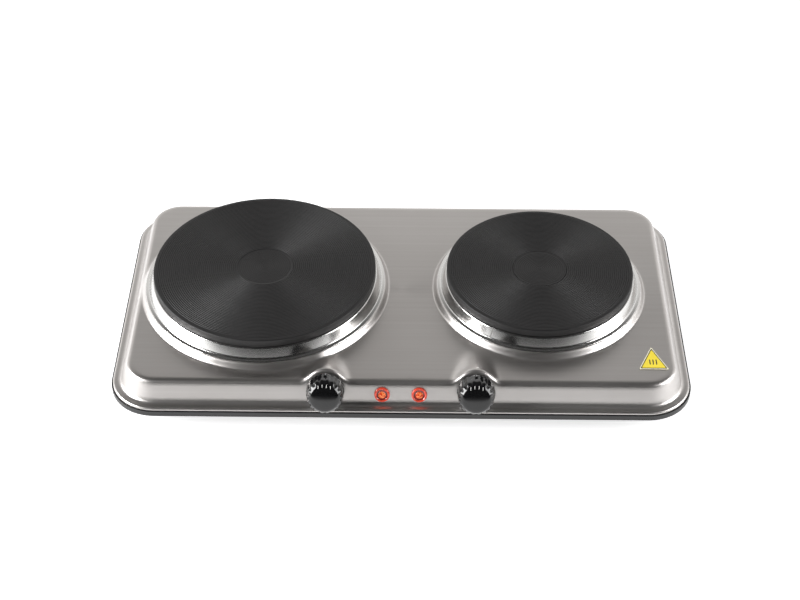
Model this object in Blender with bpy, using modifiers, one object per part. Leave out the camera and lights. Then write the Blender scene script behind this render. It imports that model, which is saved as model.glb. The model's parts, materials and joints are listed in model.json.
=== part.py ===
"""Double electric hot plate: two cast-iron plates on a pressed steel pan, with its controls and wiring.

Metres, +Z up, +Y to the back. The feet stand on z = 0 and the outer box is centred on x = y = 0.
Heights in the profiles are counted from the deck, the flat top of the pan.
"""

import math

import bmesh
import bpy
from mathutils import Vector

# ---- Driving dimensions ----

GAP = 0.0003            # left between pieces that touch
SHEET = 0.0008          # pressed steel of the pan and the tray
SIDES = 40              # sides of a large turned piece
MIDDLE_SIDES = 16       # sides of a foot, a lens or a regulator
SMALL_SIDES = 12        # sides of a screw, a shaft or a drilled hole
BOSS_SIDES = 24

LARGE_RADIUS = 0.0925   # left cast-iron plate
SMALL_RADIUS = 0.0775   # right cast-iron plate
PLATE_RISE = 0.022      # plate top above the deck
PLATE_EDGE = 0.001      # broken edge round a plate's top
PLATE_NECK = 0.0009     # depth of the groove that holds the ring's lip
PLATE_RIM_Z = 0.009     # underside of a plate's outer rim
CORE_INSET = 0.0085     # step from a plate's rim in to its core
CORE_Z = 0.002          # underside of the core
CHANNEL_WALL = 0.004    # iron left outside the heating channel
CHANNEL_TOP = 0.013
HUB_RADIUS = 0.024      # iron left inside the heating channel
CENTRE_MARK = 0.0225    # radius of the shallow turned centre
MARK_DEPTH = 0.0005
BED_DEPTH = 0.0072      # depth of the ceramic bed in the channel

RING_SHEET = 0.0006     # spill ring steel
RING_LIP_Z = 0.015      # top of the ring, under the plate's overhang
RING_SPREAD = 0.0045    # how far the ring's cone spreads past the plate
RING_FLANGE = 0.0024

COLLAR_RISE = 0.0052    # embossed collar of the pan that a ring rests on
COLLAR_LAND = 0.0078    # from the plate's radius out to the collar's top edge
COLLAR_SPREAD = 0.0110  # from the plate's radius out to the collar's foot
HOLE_INSET = 0.0045     # from the plate's radius in to the pan's hole

CENTRE_GAP = 0.0372     # deck between the two collars
SIDE_MARGIN = -0.0016   # left collar to the left fold, which it just cuts into
FRONT_MARGIN = 0.0086   # left collar to the front fold
BACK_MARGIN = 0.003     # left collar to the back fold

DECK_CORNER = 0.020     # plan radius of the deck's corners
FOLD_RADIUS = 0.0045
PANEL_ANGLE = 70.0      # slope of the four side panels
PANEL_LENGTH = 0.0139
FILLET_RADIUS = 0.004
FLANGE = 0.0017
BEAD_RADIUS = 0.002
LIP = 0.0015
CORNER_SEGMENTS = 5

TRAY_LAP = 0.0009       # how far the base tray's rim stands up outside the pan's lip
TRAY_EDGE = 0.0037      # base tray seen below the lip
TRAY_LEDGE = 0.0042
TRAY_SLOPE = 0.014
TRAY_DROP = 0.010
VENT_LENGTH = 0.024
VENT_WIDTH = 0.003
VENT_PITCH = 0.009
VENTS = 5

FOOT_RADIUS = 0.011
FOOT_HEIGHT = 0.008
FOOT_FROM_SIDE = 0.039  # foot centre to the outside of the tray's rim, across
FOOT_SCREW_RADIUS = 0.002
BRACKET_SHEET = 0.0012
BRACKET_SPARE = 0.008   # bracket past each foot screw, up to where the pan's corners begin

STUD_RADIUS = 0.003
SHIELD_SHEET = 0.0006
SHIELD_DEPTH = 0.0036   # shield floor below the deck
BAR_WIDTH = 0.020
BAR_SHEET = 0.0016
NUT_RADIUS = 0.0058
NUT_HEIGHT = 0.005
BLOCK_SIZE = (0.026, 0.016, 0.010)
BLOCK_OFFSET = (0.042, -0.020)

KNOB_OFFSET = 0.0595    # knob axis from the middle of the panel
KNOB_UP = 0.0111        # knob axis above the foot of the flat panel
KNOB_LIFT = 0.005       # knob skirt off the panel
KNOB_SKIRT = 0.0152
KNOB_GRIP = 0.0146      # radius of the fluted barrel at its top
KNOB_FACE = 0.0122
KNOB_HEIGHT = 0.0152
KNOB_SHOULDER = 0.0042  # from the face down to the top of the barrel
KNOB_WALL = 0.0022
KNOB_FLUTES = 18
FLUTE_DEPTH = 0.0005
POINTER_WIDTH = 0.0024
SHAFT_RADIUS = 0.003
SHAFT_GAP = 0.0008       # running clearance of a shaft in the panel
SHAFT_GRIP = 0.0100     # length of shaft inside the knob
BOSS_RADIUS = 0.0172    # raised boss of the pan behind each knob
BOSS_BACK_RADIUS = 0.0150
BOSS_LENGTH = 0.030
BOSS_PROUD = 0.0002

REGULATOR_RADIUS = 0.0135
REGULATOR_LENGTH = 0.020
REGULATOR_PLATE = (0.024, 0.018, 0.0012)
REGULATOR_SCREW_OFFSET = 0.009
REGULATOR_SCREW_RADIUS = 0.0015

LAMP_OFFSET = 0.0148
LAMP_UP = 0.0063
LENS_RADIUS = 0.0062
BARREL_RADIUS = 0.0047
BARREL_LENGTH = 0.006
LAMP_LENGTH = 0.014
CLIP_WIDTH = 0.0013

GLAND_RADIUS = 0.005
GLAND_BORE = 0.004
GLAND_FLANGE = 0.0062
GLAND_FLANGE_DEPTH = 0.0012
GLAND_UP = 0.0054       # gland's centre above the foot of the flat back panel
GLAND_REACH = 0.0078    # outer end of the gland from the deck's back fold
GLAND_TAIL = 0.004      # inner end of the gland, inside the same fold
STRIP_SIZE = (0.040, 0.018, 0.014)
STRIP_FROM_BACK = 0.040
EARTH_OFFSET = 0.045

LABEL_WIDTH = 0.024
LABEL_DEPTH = 0.026
LABEL_SHEET = 0.00025
LABEL_FROM_SIDE = 0.0026
LABEL_FROM_FRONT = 0.0139

WIRE_RADIUS = 0.0012

# ---- Places that follow from them ----

SLOPE = math.radians(PANEL_ANGLE)
LARGE_COLLAR = LARGE_RADIUS + COLLAR_SPREAD
SMALL_COLLAR = SMALL_RADIUS + COLLAR_SPREAD
PLATE_X = (LARGE_COLLAR + SMALL_COLLAR + CENTRE_GAP) / 2
DECK_WIDTH = 2 * (PLATE_X + LARGE_COLLAR + SIDE_MARGIN)
DECK_DEPTH = 2 * LARGE_COLLAR + FRONT_MARGIN + BACK_MARGIN
KNOB_DOWN = PANEL_LENGTH - KNOB_UP
LAMP_DOWN = PANEL_LENGTH - LAMP_UP
GLAND_DOWN = PANEL_LENGTH - GLAND_UP
FOLD_RUN = FOLD_RADIUS * math.sin(SLOPE)
FOLD_DROP = FOLD_RADIUS * (1 - math.cos(SLOPE))
EDGE_RUN = (
    FOLD_RUN + PANEL_LENGTH * math.cos(SLOPE) + FILLET_RADIUS * math.sin(SLOPE) + FLANGE + BEAD_RADIUS
)
PAN_DROP = (
    FOLD_DROP
    + PANEL_LENGTH * math.sin(SLOPE)
    + FILLET_RADIUS * (1 - math.cos(SLOPE))
    + BEAD_RADIUS
    + LIP
)
FLOOR_DROP = PAN_DROP + TRAY_EDGE + TRAY_DROP
DECK_Z = FOOT_HEIGHT + FLOOR_DROP

KNOB_PROFILE = (
    (0.0, KNOB_HEIGHT + 0.0006),
    (KNOB_FACE * 0.6, KNOB_HEIGHT + 0.0003),
    (KNOB_FACE - 0.0012, KNOB_HEIGHT - 0.0002),
    (KNOB_FACE, KNOB_HEIGHT - 0.0012),
    (KNOB_GRIP, KNOB_HEIGHT - KNOB_SHOULDER),
    (KNOB_SKIRT - 0.0002, 0.0030),
    (KNOB_SKIRT, 0.0),
)
KNOB_REACH = max(
    (KNOB_LIFT + rise) * math.sin(SLOPE) + radius * math.cos(SLOPE) for radius, rise in KNOB_PROFILE
)
FRONT_REACH = FOLD_RUN + KNOB_DOWN * math.cos(SLOPE) + KNOB_REACH
TRAY_OUTSET = SHEET + GAP  # outer face of the tray's rim past the pan's lip
PAN_Y = (FRONT_REACH - EDGE_RUN - TRAY_OUTSET) / 2
FRONT_Y = PAN_Y - DECK_DEPTH / 2
BACK_Y = PAN_Y + DECK_DEPTH / 2
PLATE_Y = FRONT_Y + FRONT_MARGIN + LARGE_COLLAR
FLOOR_Z = FOOT_HEIGHT + SHEET
FOOT_X = DECK_WIDTH / 2 + EDGE_RUN + TRAY_OUTSET - FOOT_FROM_SIDE
FOOT_Y = DECK_DEPTH / 2 - DECK_CORNER - BRACKET_SPARE
PLATES = (("large", -PLATE_X, LARGE_RADIUS), ("small", PLATE_X, SMALL_RADIUS))
HANDS = (("left", -1), ("right", 1))


def fresh_collection(name):
    collection = bpy.data.collections.new(name)
    bpy.context.scene.collection.children.link(collection)
    return collection


for leftover in list(bpy.data.objects):
    bpy.data.objects.remove(leftover)
PARTS = fresh_collection("double_hot_plate")
CUTTERS = fresh_collection("cutters")


# ---- Materials ----


def finish(name, colour, roughness, metallic=0.0):
    material = bpy.data.materials.new(name)
    material.use_nodes = True
    shader = material.node_tree.nodes["Principled BSDF"]
    shader.inputs["Base Color"].default_value = (*colour, 1.0)
    shader.inputs["Roughness"].default_value = roughness
    shader.inputs["Metallic"].default_value = metallic
    return material


BRUSHED_STEEL = finish("brushed_steel", (0.60, 0.59, 0.57), 0.32, 1.0)
BRIGHT_STEEL = finish("bright_steel", (0.70, 0.70, 0.69), 0.12, 1.0)
ZINC_STEEL = finish("zinc_steel", (0.55, 0.56, 0.57), 0.40, 1.0)
CAST_IRON = finish("cast_iron", (0.045, 0.044, 0.045), 0.55)
CERAMIC = finish("ceramic", (0.80, 0.77, 0.70), 0.60)
BLACK_ENAMEL = finish("black_enamel", (0.015, 0.015, 0.016), 0.35)
GLOSS_BLACK = finish("gloss_black", (0.012, 0.012, 0.013), 0.08)
DARK_MOULDING = finish("dark_moulding", (0.05, 0.05, 0.055), 0.50)
RED_LENS = finish("red_lens", (0.75, 0.06, 0.03), 0.10)
RUBBER = finish("rubber", (0.03, 0.03, 0.03), 0.85)
LABEL_YELLOW = finish("label_yellow", (0.90, 0.66, 0.08), 0.45)
WIRE_SLEEVE = finish("wire_sleeve", (0.72, 0.70, 0.64), 0.55)


# ---- Ways of making a piece ----


def place(obj, collection, material=None):
    collection.objects.link(obj)
    if material:
        obj.data.materials.append(material)
    return obj


def as_cutter(obj):
    obj.hide_render = True
    obj.display_type = "WIRE"
    return obj


def from_bmesh(name, bm, collection=None, material=None):
    bmesh.ops.recalc_face_normals(bm, faces=bm.faces)
    mesh = bpy.data.meshes.new(name)
    bm.to_mesh(mesh)
    bm.free()
    return place(bpy.data.objects.new(name, mesh), collection or PARTS, material)


def turned(name, profile, material=None, sides=SIDES, collection=None):
    """A turned piece: the profile of (radius, height) runs down its outer side, and a Screw spins it."""
    mesh = bpy.data.meshes.new(name)
    count = len(profile)
    closed = profile[0][0] > 0 or profile[-1][0] > 0
    edges = [(i, i + 1) for i in range(count - 1)] + ([(count - 1, 0)] if closed else [])
    mesh.from_pydata([(radius, 0.0, height) for radius, height in profile], edges, [])
    obj = place(bpy.data.objects.new(name, mesh), collection or PARTS, material)
    screw = obj.modifiers.new("turn", "SCREW")
    screw.steps = sides
    screw.render_steps = sides
    screw.use_merge_vertices = True
    screw.merge_threshold = 0.00001
    screw.use_smooth_shade = True
    return obj


def box(name, size, centre, material=None, bevel=0.0, collection=None):
    bm = bmesh.new()
    bmesh.ops.create_cube(bm, size=1.0)
    bmesh.ops.scale(bm, vec=size, verts=bm.verts)
    if bevel:
        bmesh.ops.bevel(bm, geom=bm.edges[:], affect="EDGES", offset=bevel, segments=2, profile=0.5)
    obj = from_bmesh(name, bm, collection, material)
    obj.location = centre
    return obj


def prism(name, outline, thickness, material=None, collection=None, sides=None):
    """A closed outline in the local XY plane, given its thickness about that plane."""
    bm = bmesh.new()
    if sides:
        bmesh.ops.create_circle(bm, cap_ends=True, segments=sides, radius=outline)
    else:
        bm.faces.new([bm.verts.new((x, y, 0.0)) for x, y in outline])
    made = bmesh.ops.extrude_face_region(bm, geom=bm.faces[:])
    top = [item for item in made["geom"] if isinstance(item, bmesh.types.BMVert)]
    bmesh.ops.translate(bm, vec=(0, 0, thickness), verts=top)
    bmesh.ops.translate(bm, vec=(0, 0, -thickness / 2), verts=bm.verts)
    return from_bmesh(name, bm, collection, material)


def cut(obj, cutter, operation="DIFFERENCE", solver="EXACT"):
    boolean = obj.modifiers.new(cutter.name, "BOOLEAN")
    boolean.operation = operation
    boolean.solver = solver
    boolean.object = as_cutter(cutter)


def drill(obj, name, radius, depth, parent=None, location=None, rotation=None, solver="EXACT"):
    """A round hole that goes this far to each side of its place, along the local Z axis."""
    profile = ((0.0, depth), (radius, depth), (radius, -depth), (0.0, -depth))
    cutter = turned(name, profile, sides=SMALL_SIDES, collection=CUTTERS)
    cut(obj, seat(cutter, parent, location, rotation), solver=solver)


def seat(obj, parent=None, location=None, rotation=None):
    if parent:
        obj.parent = parent
    if location:
        obj.location = location
    if rotation:
        obj.rotation_euler = rotation
    return obj


def axis_empty(name, location, rotation=(0, 0, 0)):
    empty = bpy.data.objects.new(name, None)
    empty.location = location
    empty.rotation_euler = rotation
    PARTS.objects.link(empty)
    return empty


# ---- Pressed shells: the pan and the base tray ----


def bend(radius, start, end, segments):
    """(run, rise) steps inwards round a bend, from one slope in degrees to another."""
    angles = [math.radians(start + (end - start) * i / segments) for i in range(segments + 1)]
    return [
        (radius * abs(math.sin(b) - math.sin(a)), radius * abs(math.cos(b) - math.cos(a)))
        for a, b in zip(angles, angles[1:])
    ]


def pan_steps(inside):
    """The pan's edge from its lip up to the deck, drawn this far inside its outer face."""
    return (
        bend(BEAD_RADIUS - inside, 90, 0, 2)
        + [(FLANGE, 0.0)]
        + bend(FILLET_RADIUS + inside, 0, PANEL_ANGLE, 2)
        + [(PANEL_LENGTH * math.cos(SLOPE), PANEL_LENGTH * math.sin(SLOPE))]
        + bend(FOLD_RADIUS - inside, PANEL_ANGLE, 0, 3)
    )


def stepped_block(name, inside, start_z, wall, steps, material=None, collection=None, down=False):
    """A rounded rectangle the size of the pan's lip less `inside`, raised by a wall and then by steps."""
    bm = bmesh.new()
    bmesh.ops.create_grid(bm, x_segments=1, y_segments=1, size=0.5)
    width = DECK_WIDTH + 2 * (EDGE_RUN - inside)
    depth = DECK_DEPTH + 2 * (EDGE_RUN - inside)
    bmesh.ops.scale(bm, vec=(width, depth, 1), verts=bm.verts)
    bmesh.ops.bevel(
        bm,
        geom=bm.verts[:],
        affect="VERTICES",
        offset=DECK_CORNER + EDGE_RUN - inside,
        segments=CORNER_SEGMENTS,
        profile=0.5,
    )
    if down:
        bmesh.ops.reverse_faces(bm, faces=bm.faces)
    made = bmesh.ops.extrude_face_region(bm, geom=bm.faces[:])
    top = next(item for item in made["geom"] if isinstance(item, bmesh.types.BMFace))
    bmesh.ops.translate(bm, vec=(0, 0, -wall if down else wall), verts=top.verts)
    for run, rise in steps:
        bmesh.ops.inset_individual(bm, faces=[top], thickness=run, depth=rise, use_even_offset=True)
    bmesh.ops.translate(bm, vec=(0, PAN_Y, start_z), verts=bm.verts)
    return from_bmesh(name, bm, collection, material)


def front_point(x, down):
    """A point on the front panel's outer face, `down` from the top of its flat."""
    run = FOLD_RUN + down * math.cos(SLOPE)
    return Vector((x, FRONT_Y - run, DECK_Z - FOLD_DROP - down * math.sin(SLOPE)))


def back_point(x, down):
    """The same on the back panel."""
    front = front_point(x, down)
    return Vector((x, BACK_Y + FRONT_Y - front.y, front.z))


FRONT_TILT = (SLOPE, 0.0, 0.0)
BACK_TILT = (-SLOPE, 0.0, 0.0)


def collar_profile(radius, inside):
    """A cone with the collar's slope, which starts below the deck so that it joins the pan."""
    spread = COLLAR_SPREAD - COLLAR_LAND
    lean = inside / math.sin(math.atan2(COLLAR_RISE, spread))
    top = COLLAR_RISE - inside
    root = -0.001 - 2 * inside
    outer = radius + COLLAR_SPREAD - lean
    return (
        (0.0, top),
        (outer - spread * top / COLLAR_RISE, top),
        (outer - spread * root / COLLAR_RISE, root),
        (0.0, root),
    )


def boss_profile(inside):
    front = BOSS_PROUD - inside
    return (
        (0.0, front),
        (BOSS_RADIUS - inside - 0.001, front),
        (BOSS_RADIUS - inside, front - 0.001),
        (BOSS_BACK_RADIUS - inside, -BOSS_LENGTH),
        (0.0, -BOSS_LENGTH),
    )


def pan_body(name, inside, below, material=None, collection=None):
    """The pan's outer face filled solid, or the hollow this far inside it: edge, collars and bosses."""
    start_z = DECK_Z - PAN_DROP - below
    body = stepped_block(name, inside, start_z, LIP + below, pan_steps(inside), material, collection)
    for plate_name, x, radius in PLATES:
        collar = turned(f"{name}_{plate_name}_collar", collar_profile(radius, inside), collection=CUTTERS)
        cut(body, seat(collar, location=(x, PLATE_Y, DECK_Z)), "UNION")
    for hand_name, hand in HANDS:
        boss = turned(f"{name}_{hand_name}_boss", boss_profile(inside), sides=BOSS_SIDES, collection=CUTTERS)
        at = front_point(hand * KNOB_OFFSET, KNOB_DOWN)
        cut(body, seat(boss, location=at, rotation=FRONT_TILT), "UNION")
    return body


def top_pan():
    """Pressed stainless pan: deck, collars, sloping panels, bosses behind the knobs, and every hole."""
    pan = pan_body("top_pan", 0.0, 0.0, BRUSHED_STEEL)
    boss_low = front_point(0.0, KNOB_DOWN).z - BOSS_LENGTH * math.cos(SLOPE) - BOSS_RADIUS * math.sin(SLOPE)
    below = max(SHEET, DECK_Z - PAN_DROP + SHEET - boss_low)  # down past the bosses' back ends
    cut(pan, pan_body("pan_hollow", SHEET, below, collection=CUTTERS))
    solver = "MANIFOLD"  # EXACT leaves the openings' rims open
    for name, x, radius in PLATES:
        hole = radius - HOLE_INSET
        opening = ((0.0, 0.02), (hole, 0.02), (hole, -0.005), (0.0, -0.005))
        cutter = turned(f"{name}_opening", opening, collection=CUTTERS)
        cut(pan, seat(cutter, location=(x, PLATE_Y, DECK_Z)), solver=solver)
    through = 5 * SHEET
    for name, hand in HANDS:
        shaft_at = front_point(hand * KNOB_OFFSET, KNOB_DOWN)
        drill(pan, f"{name}_shaft_hole", SHAFT_RADIUS + SHAFT_GAP, through, None, shaft_at, FRONT_TILT, solver)
        for number, side in enumerate((-1, 1), 1):
            at = front_point(hand * KNOB_OFFSET + side * REGULATOR_SCREW_OFFSET, KNOB_DOWN)
            hole = REGULATOR_SCREW_RADIUS + GAP
            drill(pan, f"{name}_fixing_hole_{number}", hole, through, None, at, FRONT_TILT, solver)
        lamp_at = front_point(hand * LAMP_OFFSET, LAMP_DOWN)
        drill(pan, f"{name}_lamp_hole", BARREL_RADIUS + GAP, through, None, lamp_at, FRONT_TILT, solver)
    exit_at = back_point(0.0, GLAND_DOWN)
    drill(pan, "gland_hole", GLAND_RADIUS + GAP, 10 * SHEET, None, exit_at, (-math.pi / 2, 0, 0), solver)


def tray_steps():
    return [(TRAY_LEDGE, 0.0), (TRAY_SLOPE, TRAY_DROP)]


def base_pan():
    """Black base tray: its rim laps the pan's lip from outside, and its floor carries the feet and the vents."""
    rim_z = DECK_Z - PAN_DROP + TRAY_LAP
    wall = TRAY_LAP + TRAY_EDGE
    tray = stepped_block("base_pan", -TRAY_OUTSET, rim_z, wall, tray_steps(), BLACK_ENAMEL, down=True)
    above = 0.002
    hollow = stepped_block(
        "tray_hollow",
        SHEET - TRAY_OUTSET,
        rim_z + above,
        wall - SHEET + above,
        tray_steps(),
        collection=CUTTERS,
        down=True,
    )
    cut(tray, hollow)
    for side_x in (-1, 1):
        for side_y in (-1, 1):
            at = (side_x * FOOT_X, PAN_Y + side_y * FOOT_Y, FLOOR_Z)
            name = f"foot_hole_{'l' if side_x < 0 else 'r'}{'f' if side_y < 0 else 'b'}"
            drill(tray, name, FOOT_SCREW_RADIUS + GAP, 3 * SHEET, None, at)
    for name, x, _ in PLATES:
        for number in range(VENTS):
            y = PLATE_Y + (number - (VENTS - 1) / 2) * VENT_PITCH
            slot = box(
                f"{name}_vent_{number + 1}", (VENT_LENGTH, VENT_WIDTH, 0.006), (x, y, FLOOR_Z), collection=CUTTERS
            )
            cut(tray, slot)


# ---- Plates, rings and what clamps them ----


def hot_plate(name, x, radius):
    """Cast-iron plate: flat top, a groove for the ring's lip, and a channel below for the heating bed."""
    core = radius - CORE_INSET
    hole = STUD_RADIUS + GAP
    profile = (
        (0.0, PLATE_RISE - MARK_DEPTH),
        (CENTRE_MARK, PLATE_RISE - MARK_DEPTH),
        (CENTRE_MARK + MARK_DEPTH, PLATE_RISE),
        (radius - PLATE_EDGE, PLATE_RISE),
        (radius, PLATE_RISE - PLATE_EDGE),
        (radius, RING_LIP_Z + GAP),
        (radius - PLATE_NECK, RING_LIP_Z + GAP),
        (radius - PLATE_NECK, PLATE_RIM_Z),
        (core, PLATE_RIM_Z),
        (core, CORE_Z),
        (core - CHANNEL_WALL, CORE_Z),
        (core - CHANNEL_WALL, CHANNEL_TOP),
        (HUB_RADIUS, CHANNEL_TOP),
        (HUB_RADIUS, CORE_Z),
        (hole, CORE_Z),
        (hole, CHANNEL_TOP + 0.004),
        (0.0, CHANNEL_TOP + 0.004),
    )
    turned(f"hot_plate_{name}", profile, CAST_IRON).location = (x, PLATE_Y, DECK_Z)


def heating_bed(name, x, radius):
    """Ceramic bed that holds the buried heating coil in the plate's channel."""
    outer = radius - CORE_INSET - CHANNEL_WALL - GAP
    inner = HUB_RADIUS + GAP
    top = CHANNEL_TOP - GAP
    profile = ((inner, top), (outer, top), (outer, top - BED_DEPTH), (inner, top - BED_DEPTH))
    turned(f"heating_bed_{name}", profile, CERAMIC).location = (x, PLATE_Y, DECK_Z)


def spill_ring(name, x, radius):
    """Bright ring spun round the plate: its lip sits in the plate's groove and its flange on the collar."""
    neck = radius - PLATE_NECK + GAP
    foot = COLLAR_RISE + GAP
    corner = radius + RING_SPREAD
    edge = corner + 0.0007 + RING_FLANGE
    profile = (
        (neck, RING_LIP_Z - 0.0001),
        (radius + 0.0005, RING_LIP_Z),
        (radius + 0.0009, RING_LIP_Z - 0.0004),
        (corner, foot + RING_SHEET + 0.0008),
        (corner + 0.0007, foot + RING_SHEET),
        (edge, foot + RING_SHEET),
        (edge, foot),
        (corner + 0.0004, foot),
        (corner - RING_SHEET, foot + 0.0009),
        (radius + 0.0002, RING_LIP_Z - 0.0009),
        (neck, RING_LIP_Z - 0.0008),
    )
    turned(f"spill_ring_{name}", profile, BRIGHT_STEEL).location = (x, PLATE_Y, DECK_Z)


def heat_shield(name, x, radius):
    """Dished steel cover under the plate."""
    inner = radius - CORE_INSET + GAP
    outer = inner + SHIELD_SHEET
    hole = STUD_RADIUS + GAP
    profile = (
        (inner, PLATE_RIM_Z - GAP),
        (outer, PLATE_RIM_Z - GAP),
        (outer, -SHIELD_DEPTH),
        (hole, -SHIELD_DEPTH),
        (hole, SHIELD_SHEET - SHIELD_DEPTH),
        (inner, SHIELD_SHEET - SHIELD_DEPTH),
    )
    turned(f"heat_shield_{name}", profile, ZINC_STEEL).location = (x, PLATE_Y, DECK_Z)


def clamp(name, x, radius):
    """Cranked bar that bears up under the collar, with the plate's stud and its nut."""
    reach = radius + HOLE_INSET
    knee = radius - HOLE_INSET - 0.001
    low = -SHIELD_DEPTH - GAP
    high = COLLAR_RISE - SHEET - GAP
    crank = 0.002
    upper = ((knee - crank, low), (knee + crank, high), (reach, high))
    right = [*upper, *((along, height - BAR_SHEET) for along, height in reversed(upper))]
    right[-1] = (knee - crank + BAR_SHEET / 2, low - BAR_SHEET)
    right[-2] = (knee + crank + BAR_SHEET / 2, high - BAR_SHEET)
    left = [(-along, height) for along, height in reversed(right)]
    bar = prism(f"clamp_bar_{name}", right + left, BAR_WIDTH, ZINC_STEEL)
    seat(bar, location=(x, PLATE_Y, DECK_Z), rotation=(math.pi / 2, 0, math.pi / 2))
    hole = ((0.0, low + 0.003), (STUD_RADIUS + GAP, low + 0.003), (STUD_RADIUS + GAP, low - 0.004), (0.0, low - 0.004))
    cutter = turned(f"{name}_bar_hole", hole, sides=SMALL_SIDES, collection=CUTTERS)
    cut(bar, seat(cutter, location=(x, PLATE_Y, DECK_Z)))
    nut_top = low - BAR_SHEET - GAP
    nut = prism(f"clamp_nut_{name}", NUT_RADIUS, NUT_HEIGHT, ZINC_STEEL, sides=6)
    nut.location = (x, PLATE_Y, DECK_Z + nut_top - NUT_HEIGHT / 2)
    drill(nut, f"{name}_nut_hole", STUD_RADIUS + GAP, NUT_HEIGHT, None, nut.location)
    stud_end = nut_top - NUT_HEIGHT - 0.002
    stud = ((0.0, CHANNEL_TOP + 0.0037), (STUD_RADIUS, CHANNEL_TOP + 0.0037), (STUD_RADIUS, stud_end), (0.0, stud_end))
    turned(f"plate_stud_{name}", stud, ZINC_STEEL, SMALL_SIDES).location = (x, PLATE_Y, DECK_Z)


def block_centre(x):
    inward = -math.copysign(BLOCK_OFFSET[0], x)
    height = DECK_Z - SHIELD_DEPTH - GAP - BLOCK_SIZE[2] / 2
    return Vector((x + inward, PLATE_Y + BLOCK_OFFSET[1], height))


def terminal_block(name, x):
    """Ceramic block under the shield, where the plate's leads end."""
    box(f"terminal_block_{name}", BLOCK_SIZE, block_centre(x), CERAMIC, bevel=0.001)


# ---- Controls ----


def knob(name, parent):
    """Moulded knob: a fluted barrel with a domed face, and a hollow stem inside that grips the shaft."""
    wall = KNOB_WALL
    stem = SHAFT_RADIUS + 0.0025
    socket = SHAFT_RADIUS + GAP
    roof = KNOB_HEIGHT - 0.003
    inside = (
        (KNOB_SKIRT - 0.0012, 0.0),
        (KNOB_GRIP - wall, 0.0045),
        (KNOB_GRIP - wall, KNOB_HEIGHT - KNOB_SHOULDER - 0.001),
        (KNOB_FACE - wall, roof),
        (stem, roof),
        (stem, 0.0015),
        (socket, 0.0015),
        (socket, SHAFT_GRIP + GAP),
        (0.0, SHAFT_GRIP + GAP),
    )
    sides = 2 * KNOB_FLUTES
    blank = turned(name, KNOB_PROFILE + inside, GLOSS_BLACK, sides)
    bpy.context.view_layer.update()
    mesh = bpy.data.meshes.new_from_object(blank.evaluated_get(bpy.context.evaluated_depsgraph_get()))
    blank.modifiers.clear()
    blank.data = mesh
    for vertex in mesh.vertices:
        radius = math.hypot(vertex.co.x, vertex.co.y)
        turn = math.degrees(math.atan2(vertex.co.y, vertex.co.x)) * sides / 360
        if radius < KNOB_FACE - 0.0015 or vertex.co.z < 0.0025 or round(turn) % 2 == 0:
            continue
        factor = (radius - FLUTE_DEPTH) / radius
        vertex.co.x *= factor
        vertex.co.y *= factor
    rib = box(f"{name}_pointer", (POINTER_WIDTH, 0.0026, 0.0042), (0, KNOB_SKIRT - 0.0011, 0.0024), collection=CUTTERS)
    seat(blank, parent, (0, 0, KNOB_LIFT))
    seat(rib, blank)
    cut(blank, rib, "UNION")


def control(name, hand):
    """A knob on its shaft, and the regulator behind the panel that the shaft turns."""
    axis = axis_empty(f"{name}_control_axis", front_point(hand * KNOB_OFFSET, KNOB_DOWN), FRONT_TILT)
    knob(f"knob_{name}", axis)
    plate_back = -SHEET - GAP - REGULATOR_PLATE[2]
    front = plate_back - 2 * GAP
    back = front - REGULATOR_LENGTH
    pocket = front - 0.0055
    shaft_top = KNOB_LIFT + SHAFT_GRIP
    shaft = (
        (0.0, shaft_top),
        (SHAFT_RADIUS - 0.0005, shaft_top),
        (SHAFT_RADIUS, shaft_top - 0.0005),
        (SHAFT_RADIUS, pocket + GAP),
        (0.0, pocket + GAP),
    )
    seat(turned(f"regulator_shaft_{name}", shaft, ZINC_STEEL, SMALL_SIDES), axis)
    hole = SHAFT_RADIUS + GAP
    body = (
        (0.0, pocket),
        (hole, pocket),
        (hole, front),
        (REGULATOR_RADIUS, front),
        (REGULATOR_RADIUS, back + 0.003),
        (REGULATOR_RADIUS - 0.002, back),
        (0.0, back),
    )
    seat(turned(f"regulator_{name}", body, DARK_MOULDING, MIDDLE_SIDES), axis)
    middle = (0, 0, plate_back + REGULATOR_PLATE[2] / 2)
    plate = box(f"regulator_plate_{name}", REGULATOR_PLATE, middle, ZINC_STEEL)
    plate.parent = axis
    through = 4 * REGULATOR_PLATE[2]
    drill(plate, f"{name}_plate_shaft_hole", SHAFT_RADIUS + SHAFT_GAP, through, axis)
    for number, side in enumerate((-1, 1), 1):
        at = (side * REGULATOR_SCREW_OFFSET, 0, 0)
        drill(plate, f"{name}_plate_hole_{number}", REGULATOR_SCREW_RADIUS + GAP, through, axis, at)
        head = BOSS_PROUD + GAP
        screw = (
            (0.0, head + 0.0018),
            (0.0022, head + 0.0018),
            (0.0028, head),
            (REGULATOR_SCREW_RADIUS, head),
            (REGULATOR_SCREW_RADIUS, plate_back),
            (0.0, plate_back),
        )
        seat(turned(f"regulator_screw_{name}_{number}", screw, ZINC_STEEL, SMALL_SIDES), axis, at)
    return axis, back


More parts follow.
